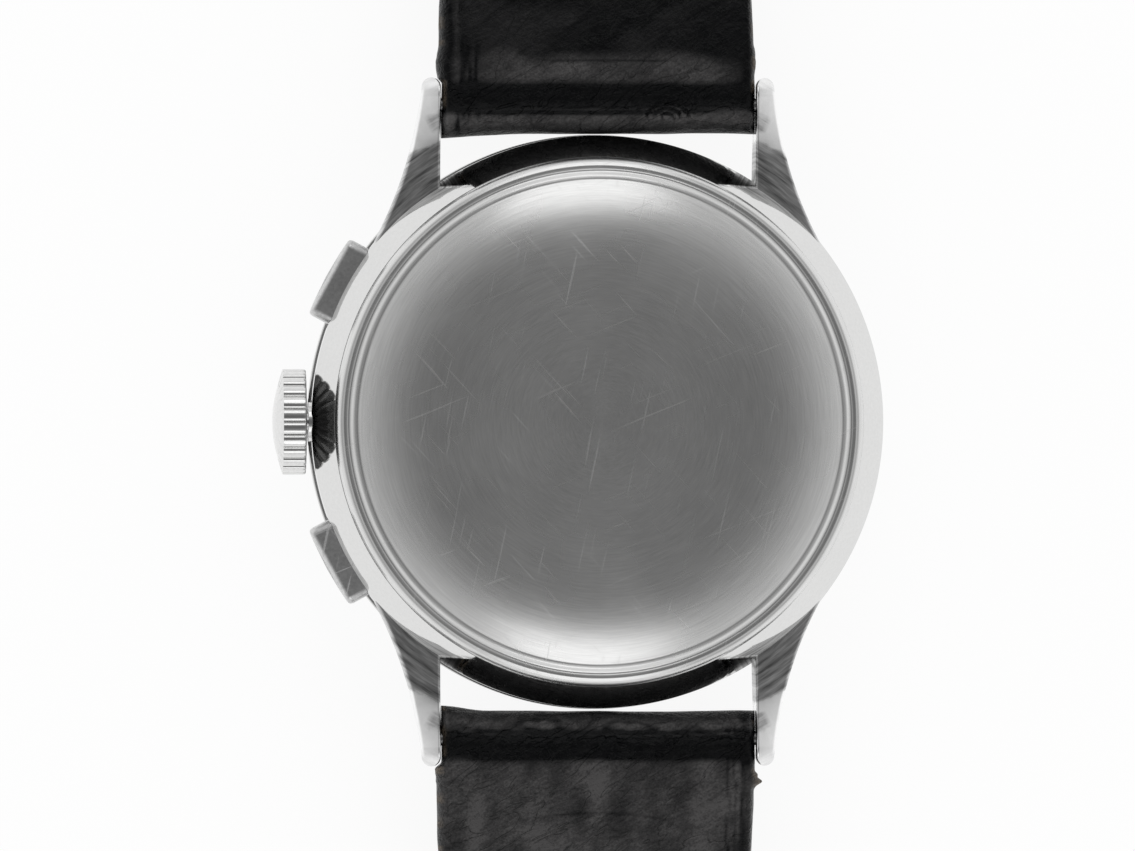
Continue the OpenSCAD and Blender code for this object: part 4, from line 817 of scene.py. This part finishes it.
# Ragged edge: how far it stands out at each place along it
def fray(half, sign, y):
    rag = half["rag"] + (1 - half["rag"]) * softNoise(y, 0 * y, 0.3, half["seeds"][0])
    high, at, wide = half["leftStep"]
    left = high * ease((y - at) / wide)
    high, at, wide = half["leftTuft"]
    left = left + high * rag * bell(y, at, wide, 4)
    high, at, wide = half["rightTuft"]
    right = high * rag * bell(y, at, wide, 4) + half["rightBase"]
    return np.where(sign < 0, left, right) + 0.02 * softNoise(y, sign * 9 + 0 * y, 0.9, half["seeds"][1])


# How far the fold reaches towards the case at each x
def foldLine(half, x):
    start, bend, begin, over, cell, seed = half["fold"]
    return start + bend * ease((-x - begin) / over) + 0.05 * softNoise(x, 0 * x, cell, seed)


# Rows run along the strap from its fold, columns run round its section: a flat top and
# bottom of half width w, joined by half ellipses of the half thickness
def makeStrap(name, sign, length, flat, tip, half):
    look = strapLook
    endR = tip if tip else look["end"]
    lead = -look["fold"] * np.cos(np.linspace(0, math.pi / 2, 26))
    near = np.linspace(0, 7.5, 110)[1:]
    far = np.linspace(7.5, length - endR, 130)[1:]
    close = far[-1] + endR * np.sin(np.linspace(0, math.pi / 2, 24))[1:]
    s = np.concatenate([lead, near, far, close])
    mid = look["barZ"] + (flat - look["barZ"]) * ease(s / look["drop"])
    share = np.clip(s / look["drop"], 0, 1)
    body = (look["thick"] + (look["endThick"] - look["thick"]) * share) / 2
    ball = np.sqrt(np.clip(look["fold"] ** 2 - s ** 2, 0, None))
    turn = ease((s + 0.95) / 1.1)
    topH = ball * (1 - turn) + (body - look["valley"] * bell(s, 0.4, 0.7)) * turn
    lowH = np.where(s < 0, ball, (ball ** 8 + body ** 8) ** 0.125)
    w = look["width"] / 2 + (look["endWidth"] - look["width"]) / 2 * np.clip(s / (length - tip), 0, 1)
    thin = np.sqrt(1 - np.clip((s - far[-1]) / endR, 0, 1) ** 2)
    if tip:
        w = np.where(s > far[-1], look["endWidth"] / 2 * thin, w)
        thin = np.clip(w / 0.8, 0, 1) ** 0.5
    edge = np.minimum(look["edge"], np.maximum(w * 0.98, 0.0001))
    up, down = np.linspace(1, -1, 104), np.linspace(-1, 1, 44)
    bend = np.linspace(0, math.pi, 15)[1:-1]
    kx = np.concatenate([up, -np.ones(13), down, np.ones(13), [1]])[None, :]
    ox = np.concatenate([0 * up, -np.sin(bend), 0 * down, np.sin(bend), [0]])[None, :]
    oz = np.concatenate([0 * up + 1, np.cos(bend), 0 * down - 1, -np.cos(bend), [1]])[None, :]
    s, mid, topH, lowH, w, edge = (v[:, None] for v in (s, mid, topH * thin, lowH * thin, w, edge))
    x = kx * (w - edge) + ox * edge
    y = s + look["barY"] + 0 * x
    lift, tone, raw = half["marks"](x, y)
    # Painted shade in the hollows of the marks and painted highlight on their ridges, following their height
    tone = tone + look["shade"] * lift * np.clip(tone + 0.3, 0, 1)
    lift = lift + 0.03 * softNoise(x, y, 0.9, 31) + 0.045 * softNoise(x, y, 2.6, 32)
    above, below = np.clip(oz, 0, 1), np.clip(-oz, 0, 1)
    z = mid + np.where(oz > 0, topH, lowH) * oz + lift * np.clip(topH / 1.2, 0, 1) * above
    z += 0.009 * softNoise(x, y, 2.2, 77) * below * np.clip(s / 4, 0, 1) * np.clip(w / 4, 0, 1)
    x = x + ox * fray(half, np.sign(kx), y) * ease((30 - y) / 4)
    y = y - foldLine(half, x) * ease((1.2 - s) / 1.4)
    sag = np.clip(np.abs(x) - 9.3, 0, None) * 0.5 * ease((1.0 - s) / 1.5)
    uv = np.stack([x / 20 + 0.5, s / 20 + 0 * x], axis=-1)
    patch = (np.stack([x, y * sign, z - sag], axis=-1), uv, tone * above * ease((32 - y) / 6), raw)
    return makePiece(name, [patch], finish["leather"], 180)


# Turned rod that stands at x, y
def upright(x, y, r, low, high):
    points, uv = turnProfile(np.array([(0, low), (r, low), (r, high), (0, high)]), 32, False)
    return points + np.array([x, y, 0]), uv


# Half of the strap, with its slot or holes cut out
def makeStrapHalf(name, node, sign, tip, half, cuts):
    low, high = span(node)
    length = (high[1] if sign > 0 else -low[1]) - strapLook["barY"]
    piece = makeStrap(name, sign, length, low[2] + strapLook["endThick"] / 2, tip, half)
    cutWith(piece, makePiece("strapCutter", cuts(length), finish["leather"]), 60)
    return dress(piece, node, node)


# Slot for the tongue, across the buckle's bar
def slotCut(length):
    keep = np.array([0.0007, 1, 1, 0.0007])
    slot = roundLoops(*(half * keep for half in strapLook["slotHalf"]), strapLook["slotCorner"] * keep, 6)
    y = slot[..., 1] + span("buckle_bar")[0][1] + 1.0
    return [(np.stack([slot[..., 0], y, np.array([1.0, 1.0, 7.0, 7.0])[:, None] + 0 * y], axis=-1),)]


# Holes along the middle of the long half
def holeCuts(length):
    first = strapLook["barY"] + length - strapLook["holeFirst"]
    return [upright(0, -(first - k * strapLook["holeStep"]), 1.0, -1, 6) for k in range(strapLook["holes"])]


makeStrapHalf("strapShort", "strap_short", 1, 0, topLook, slotCut)
makeStrapHalf("strapLong", "strap_long", -1, strapLook["tip"], bottomLook, holeCuts)
print("strap made")


keeperLook = {"thick": 0.9, "corner": 1.5, "inner": 0.3, "outer": 0.35, "wave": 0.03}


# Band of leather: a rounded section carried round a rounded rectangle in x and z
def makeKeeper(name, body, node):
    low, high = span(node)
    wide, tall = (high[0] - low[0]) / 2, (high[2] - low[2]) / 2
    thick, half = keeperLook["thick"], (high[1] - low[1]) / 2
    section = roundCorners([(-half, -thick), (half, -thick), (half, 0), (-half, 0)],
                           np.repeat([keeperLook["inner"], keeperLook["outer"]], 2), 5)
    section = np.vstack([section, section[:1]])
    inset = -section[:, 1]
    loops = roundLoops(wide - inset, tall - inset, np.maximum(keeperLook["corner"] - inset, 0.15), 10)
    y = section[:, 0][:, None] + 0 * loops[..., 0] + (low[1] + high[1]) / 2
    points = np.stack([loops[..., 0], y, loops[..., 1] + (low[2] + high[2]) / 2], axis=-1)
    across, along = points[..., 0], points[..., 1] + points[..., 2]
    points[..., 1] += keeperLook["wave"] * softNoise(across, along, 1.4, 61)
    uv = np.stack([y / 20, np.linspace(0, 1, loops.shape[1])[None, :] + 0 * y], axis=-1)
    return dress(makePiece(name, [(points, uv)], finish["keeper"], 50), body, node)


makeKeeper("fixedKeeper", "strap_short", "fixed_keeper")
makeKeeper("freeKeeper", "free_keeper", "free_keeper")

buckleLook = {"side": 2.0, "front": 1.8, "corner": 2.2, "round": 0.55, "endRound": 1.2, "tongue": 0.5,
              "tongueRing": 0.82, "tongueWide": 1.1, "tongueNarrow": 0.75}


# Unit vectors along a path in a plane, and across it to the right
def pathFrame(path):
    along = np.gradient(path, axis=0)
    along /= np.linalg.norm(along, axis=1)[:, None]
    return along, np.stack([along[:, 1], -along[:, 0]], axis=1)


# Buckle frame: a rounded section carried along a path with round corners
def makeBuckle():
    look = buckleLook
    low, high = span("buckle_frame")
    z, thick = (low[2] + high[2]) / 2, (high[2] - low[2]) / 2
    corner, halfW, topY = look["corner"], high[0] - look["side"] / 2, high[1] - look["front"] / 2
    bend = arcPoints((halfW - corner, topY - corner), corner, 0, 90, 16)
    right = np.stack([np.full(24, halfW), np.linspace(low[1] + 0.02, topY - corner, 24)], axis=1)
    half = np.vstack([right, bend[1:], [[halfW - corner - 3, topY], [3.0, topY]]])
    path = np.vstack([half, half[::-1] * np.array([-1, 1])])
    along, across = pathFrame(path)
    end, fromEnd = look["endRound"], path[:, 1] - low[1]
    nose = np.sqrt(np.clip(end ** 2 - (end - fromEnd) ** 2, 0.0004, None)) * thick / end
    halfZ = np.where(fromEnd < end, nose, thick)
    halfX = np.where(np.abs(along[:, 0]) > 0.9, look["front"] / 2, look["side"] / 2)
    loops = roundLoops(halfX, halfZ, np.minimum(look["round"], halfZ * 0.95), 6)
    flat = path[:, None, :] + loops[..., :1] * across[:, None, :]
    points = closeEnds(np.concatenate([flat, loops[..., 1:] + z], axis=-1))
    piece = makePiece("buckleFrame", [(points,)], finish["buckle"])
    return dress(piece, "buckle", "buckle_frame")


# Tongue: a flat section bent round the bar and run out below the frame
def makeTongue():
    look = buckleLook
    low, high = span("buckle_tongue")
    bar = sum(span("buckle_bar")) / 2
    ring = arcPoints(bar[1:], look["tongueRing"], 40, 270, 30)
    drop = low[2] + 0.4
    run = np.stack([np.linspace(bar[1] + 1.2, high[1] - 0.3, 30), np.full(30, drop)], axis=1)
    t = np.linspace(0, 1, 14)[1:-1][:, None]
    joint = ring[-1] * (1 - ease(t)) + run[0] * ease(t)
    joint[:, 0] = (ring[-1, 0] + (run[0, 0] - ring[-1, 0]) * t)[:, 0]
    path = np.vstack([ring, joint, run, [[high[1] - 0.05, drop]]])
    across = -pathFrame(path)[1]
    far = np.linspace(0, 1, len(path))
    wide = look["tongueWide"] + (look["tongueNarrow"] - look["tongueWide"]) * ease((far - 0.45) / 0.5)
    halfT = look["tongue"] / 2 + 0.1 * ease((far - 0.4) / 0.2)
    wide[-1], halfT[-1] = 0.25, 0.1
    loops = roundLoops(wide, halfT, np.minimum(0.2, halfT * 0.9), 5)
    flat = path[:, None, :] + loops[..., 1:] * across[:, None, :]
    points = closeEnds(np.concatenate([loops[..., :1], flat], axis=-1))
    piece = makePiece("buckleTongue", [(points,)], finish["buckle"])
    return dress(piece, "tongue", "buckle_tongue")


makeBuckle()
makeTongue()
low, high = span("buckle_bar")
r, half = (high[2] - low[2]) / 2, high[0]
makeBar("buckleBar", "strap_short", "buckle_bar",
        [(0.001, -half), (r, -half), (r, half), (0.001, half)], [0, 0.15, 0.15, 0], 40, finish["buckle"])
print("buckle and keepers made")

# A track is (side, inner and outer radius, number of bars, half width, how often one is longer, by how much)
dialLook = {"thick": 0.4, "hole": 0.88, "subAt": 6.3, "subRadius": 3.3, "subDepth": 0.08, "batonIn": 11.6,
            "batonOut": 13.5, "batonWide": 0.27, "twin": 0.38, "ink": 0.012, "digit": 0.864, "digitIn": 0.95,
            "tracks": ((0, 13.65, 14.15, 60, 0.045, 5, 0.1), (0, 13.93, 14.15, 240, 0.018, 1, 0.0),
                       (1, 2.88, 3.16, 60, 0.022, 5, 0.06), (-1, 2.88, 3.16, 30, 0.028, 5, 0.06))}
dialLow, dialHigh = span("dial")
dialFace = dialLow[2] + 0.12
finish["dial"] = dialMaterial("silvered dial", dialLook["subAt"], dialLook["subRadius"])


# Dial plate: rings round the middle, its face sunk by a smooth step inside both small dials
def makeDial():
    r = dialHigh[0]
    radius = np.concatenate([np.linspace(dialLook["hole"], r - 0.05, 170), [r]])
    angle = np.linspace(0, tau, 361)[None, :]
    x, y = radius[:, None] * np.cos(angle), radius[:, None] * np.sin(angle)
    sunk = sum(dialLook["subDepth"] * ease((dialLook["subRadius"] - np.hypot(x - at, y)) / 0.12)
               for at in (-dialLook["subAt"], dialLook["subAt"]))
    face = np.stack([x, y, dialFace + sunk], axis=-1)
    back = np.stack([x[::-1], y[::-1], 0 * x + dialFace + dialLook["thick"]], axis=-1)
    piece = makePiece("dialPlate", [(np.concatenate([face, back, face[:1]]),)], finish["dial"], 40)
    return dress(piece, "case", "dial")


# Hour batons: long bars with two sloping sides, two of them at 12
def makeBatons():
    wide, r0, r1 = dialLook["batonWide"], dialLook["batonIn"], dialLook["batonOut"]
    y = np.array([r0, r0, r0 + 0.12, r1 - 0.12, r1, r1])[:, None]
    x = np.array([-wide, -wide, -0.03, 0.03, wide, wide, -wide])[None, :]
    rise = np.array([0, 0.25, 1, 1, 0.25, 0, 0])[None, :] * np.array([0, 0.02, 0.12, 0.12, 0.02, 0])[:, None]
    baton = np.stack([x + 0 * y, y + 0 * x, dialFace + 0.02 - rise], axis=-1)
    patches = [(baton + np.array([shift, 0, 0]),) for shift in (dialLook["twin"], -dialLook["twin"])]
    patches += [(turnAbout(baton, hour * 30),) for hour in range(1, 12)]
    return dress(makePiece("hourBatons", patches, finish["works"], 20), "case", "dial")


# Printed track: thin bars on a circle round a centre
def trackPatches(centre, inner, outer, count, wide, longEvery, extra):
    patches = []
    z = dialFace - dialLook["ink"]
    for k in range(count):
        out = outer + (extra if k % longEvery == 0 else 0)
        bar = np.array([[[-wide, inner, z], [wide, inner, z]], [[-wide, out, z], [wide, out, z]]])
        low = bar + np.array([0, 0, 0.02])
        loop = np.stack([bar[:, 0], bar[:, 1], low[:, 1], low[:, 0], bar[:, 0]], axis=1)
        patches.append((turnAbout(loop, k * 360 / count) + np.array([centre, 0, 0]),))
    return patches


# Numbers made as meshes, turned to be read from the front of the watch
def numberMesh(text, x, y, z):
    curve = bpy.data.curves.new("digit", "FONT")
    curve.body, curve.size, curve.extrude = text, dialLook["digit"] * mm, 0.006 * mm
    curve.align_x, curve.align_y = "CENTER", "CENTER"
    made = bpy.data.objects.new("digit", curve)
    scene.collection.objects.link(made)
    mesh = finalMesh(made)
    bpy.data.objects.remove(made)
    places = np.empty(len(mesh.vertices) * 3, np.float32)
    mesh.vertices.foreach_get("co", places)
    places = places.reshape(-1, 3) * np.array([-1, 1, -1]) + np.array([x, y, z]) * mm
    mesh.vertices.foreach_set("co", places.astype(np.float32).ravel())
    return mesh


def makePrint():
    look = dialLook
    at, r, sink = look["subAt"], look["subRadius"], look["subDepth"]
    patches = []
    for side, *track in look["tracks"]:
        patches += trackPatches(side * at, *track)
    for (points,) in patches:
        near = np.minimum(*(np.hypot(points[..., 0] - side, points[..., 1]) for side in (at, -at)))
        points[..., 2] += np.where(near < r, sink, 0)
    piece = makePiece("dialPrint", patches, finish["ink"], 30)
    meshes = [piece.data]
    for centre, labels in ((at, ("60", "15", "30", "45")), (-at, ("30", "10", "20"))):
        for k, label in enumerate(labels):
            a = math.radians(90 + k * 360 / len(labels))
            far = r - look["digitIn"]
            meshes.append(numberMesh(label, centre + far * math.cos(a), far * math.sin(a),
                                     dialFace + sink - look["ink"] / 2))
    weld(meshes, piece.data, 1e-7, False)
    return dress(piece, "case", "dial")


makeDial()
makeBatons()
makePrint()
print("dial made")

# Outlines of the hands are (y, half width); hub is the radius of the turned middle
handLook = {"thick": 0.12,
            "hour": [(-1.6, 0.27), (0, 0.3), (2.5, 0.55), (8.2, 0.05)],
            "minute": [(-1.8, 0.22), (0, 0.26), (3.7, 0.45), (12.2, 0.05)],
            "sweep": [(-3.4, 0.25), (-1.5, 0.12), (4.0, 0.14), (13.4, 0.04)],
            "small": [(-0.9, 0.08), (0.9, 0.14), (3.0, 0.03)]}


# Hand: a lozenge section along y whose half width follows the outline, with a turned hub
def makeHand(name, body, node, centreX, shape, hub):
    thick, front = handLook["thick"], span(node)[0][2]
    t, w = np.array(shape, float).T
    y = np.linspace(t[0], t[-1], 60)
    half = np.interp(y, t, w)
    half[0] = half[-1] = 0.002
    ridge = thick * np.clip(half / 0.2, 0.05, 1)
    x = half[:, None] * np.array([-1, -1, 0, 1, 1, -1])
    z = front + thick - ridge[:, None] * np.array([0, 0.3, 1, 0.3, 0, 0])
    points = np.stack([x + centreX, y[:, None] + 0 * x, z], axis=-1)
    ring = roundCorners([(hub * 0.3, front), (hub, front), (hub, front + 0.2), (hub * 0.3, front + 0.2)],
                        [0.02, 0.05, 0.02, 0.02], 4)
    boss, uv = turnProfile(ring, 48)
    patches = [(points,), (boss + np.array([centreX, 0, 0]), uv)]
    return dress(makePiece(name, patches, finish["blued"], 20), body, node)


at = dialLook["subAt"]
makeHand("hourHandLeaf", "hour", "hour_hand", 0, handLook["hour"], 0.85)
makeHand("minuteHandLeaf", "centre", "minute_hand", 0, handLook["minute"], 0.65)
makeHand("sweepHandLeaf", "chrono_runner", "chrono_hand", 0, handLook["sweep"], 0.5)
makeHand("smallSecondsLeaf", "fourth", "small_seconds_hand", at, handLook["small"], 0.4)
makeHand("minuteCounterLeaf", "minute_recorder", "minute_counter_hand", -at, handLook["small"], 0.4)
print("hands made")

# The nodes that stay as they are take a finish by their slot, the main plate its own
slotFinish = {"case_steel": "flank", "back_steel": "back", "crystal": "crystal", "crown_steel": "crown",
              "pusher_steel": "pusher", "bar_steel": "bar", "leather": "leather", "buckle_steel": "buckle",
              "dial_silver": "dial", "blued_steel": "blued", "brass": "brass", "gilt_nickel": "gilt",
              "movement_steel": "works", "balance_brass": "balance", "ruby": "ruby"}
for part in frame["record"]["subparts"]:
    node = frame["nodes"][part["node"]]
    look = finish["pearl" if part["node"] == "mainplate" else slotFinish[part["material_slot"]]]
    if not node.material_slots:
        node.data.materials.append(look)
    for place in node.material_slots:
        place.material = look

floorLook = {"half": 3.0, "below": 1e-5, "glow": 0.9}


# Floor under the rest face; it is white itself and keeps a soft shadow
def makeFloor():
    low, wide = cadBox[0][2] - floorLook["below"], floorLook["half"]
    mesh = bpy.data.meshes.new("floor")
    mesh.from_pydata([(-wide, -wide, low), (wide, -wide, low), (wide, wide, low), (-wide, wide, low)], [],
                     [(0, 1, 2, 3)])
    floor = bpy.data.objects.new("floor", mesh)
    scene.collection.objects.link(floor)
    g = Graph("white floor")
    made = g.surface(g.blend(g.noise(900), (0.94, 0.94, 0.94), (0.95, 0.95, 0.95)), 0.9, None,
                     {"Specular IOR Level": 0.0})
    seen = g.rays("Is Camera Ray", "Is Glossy Ray", "Is Transmission Ray")
    glow = g.node("Emission", {"Color": (1, 1, 1, 1), "Strength": 1.0})
    mix = g.node("MixShader", {0: g.times(seen, floorLook["glow"]), 1: g.shader.outputs[0],
                               2: glow.outputs[0]})
    g.tree.links.new(mix.outputs[0], g.out.inputs[0])
    mesh.materials.append(made)


lightLook = {"sky": ((0.0, 0.97), (0.5, 0.97), (0.6, 0.93), (0.75, 0.66), (0.9, 0.42), (0.97, 0.23),
                     (1.0, 0.12)),
             "even": 0.85, "lampPower": 0.55, "lampTilt": 45, "lampFar": 0.9, "lampSize": 0.5}


# Studio: glossy rays see a sky that darkens towards the point overhead, and two soft lamps
def makeLights():
    scene.world = bpy.data.worlds.new("studio")
    g = Graph(scene.world, "OutputWorld")
    up = g.node("SeparateXYZ", {0: g.node("TexCoord").outputs["Generated"]}).outputs[2]
    ramp = g.node("ValToRGB", {0: g.rescale(up, -1, 1)})
    ramp.color_ramp.interpolation = "B_SPLINE"
    stops = ramp.color_ramp.elements
    for k, (at, level) in enumerate(lightLook["sky"]):
        stop = stops[k] if k < 2 else stops.new(at)
        stop.position, stop.color = at, (level, level, level, 1)
    level = g.blend(g.rays("Is Diffuse Ray"), ramp.outputs[0], (lightLook["even"],) * 3)
    level = g.blend(g.rays("Is Camera Ray", "Is Transmission Ray"), level, (1, 1, 1))
    glow = g.node("Background", {"Color": level, "Strength": 1.0})
    g.tree.links.new(glow.outputs[0], g.out.inputs[0])
    for side in (-1, 1):
        lamp = bpy.data.lights.new("softLamp", "AREA")
        lamp.shape, lamp.size, lamp.energy = "DISK", lightLook["lampSize"], lightLook["lampPower"]
        made = bpy.data.objects.new("softLamp", lamp)
        tilt = math.radians(lightLook["lampTilt"]) * side
        made.location = (0, lightLook["lampFar"] * math.sin(tilt), lightLook["lampFar"] * math.cos(tilt))
        made.rotation_euler = (-tilt, 0, 0)
        made.visible_camera = False
        scene.collection.objects.link(made)


cameraLook = {"x": -2.06, "y": -0.23, "wide": 71.6, "far": 600.0, "plane": 10.5, "lean": 3.2}


# Camera above with a long lens, leaning a little towards the crown side
def makeCamera():
    camera = bpy.data.cameras.new("camera")
    camera.sensor_width = 36.0
    camera.lens = 36.0 * cameraLook["far"] / cameraLook["wide"]
    camera.clip_start, camera.clip_end = 0.01, 20
    made = bpy.data.objects.new("camera", camera)
    lean, far = math.radians(cameraLook["lean"]), cameraLook["far"]
    made.location = ((cameraLook["x"] - far * math.sin(lean)) * mm, cameraLook["y"] * mm,
                     (cameraLook["plane"] + far * math.cos(lean)) * mm)
    made.rotation_euler = (0, -lean, 0)
    scene.collection.objects.link(made)
    scene.camera = made


makeFloor()
makeLights()
makeCamera()
scene.view_settings.view_transform = "Standard"
print("stage set")
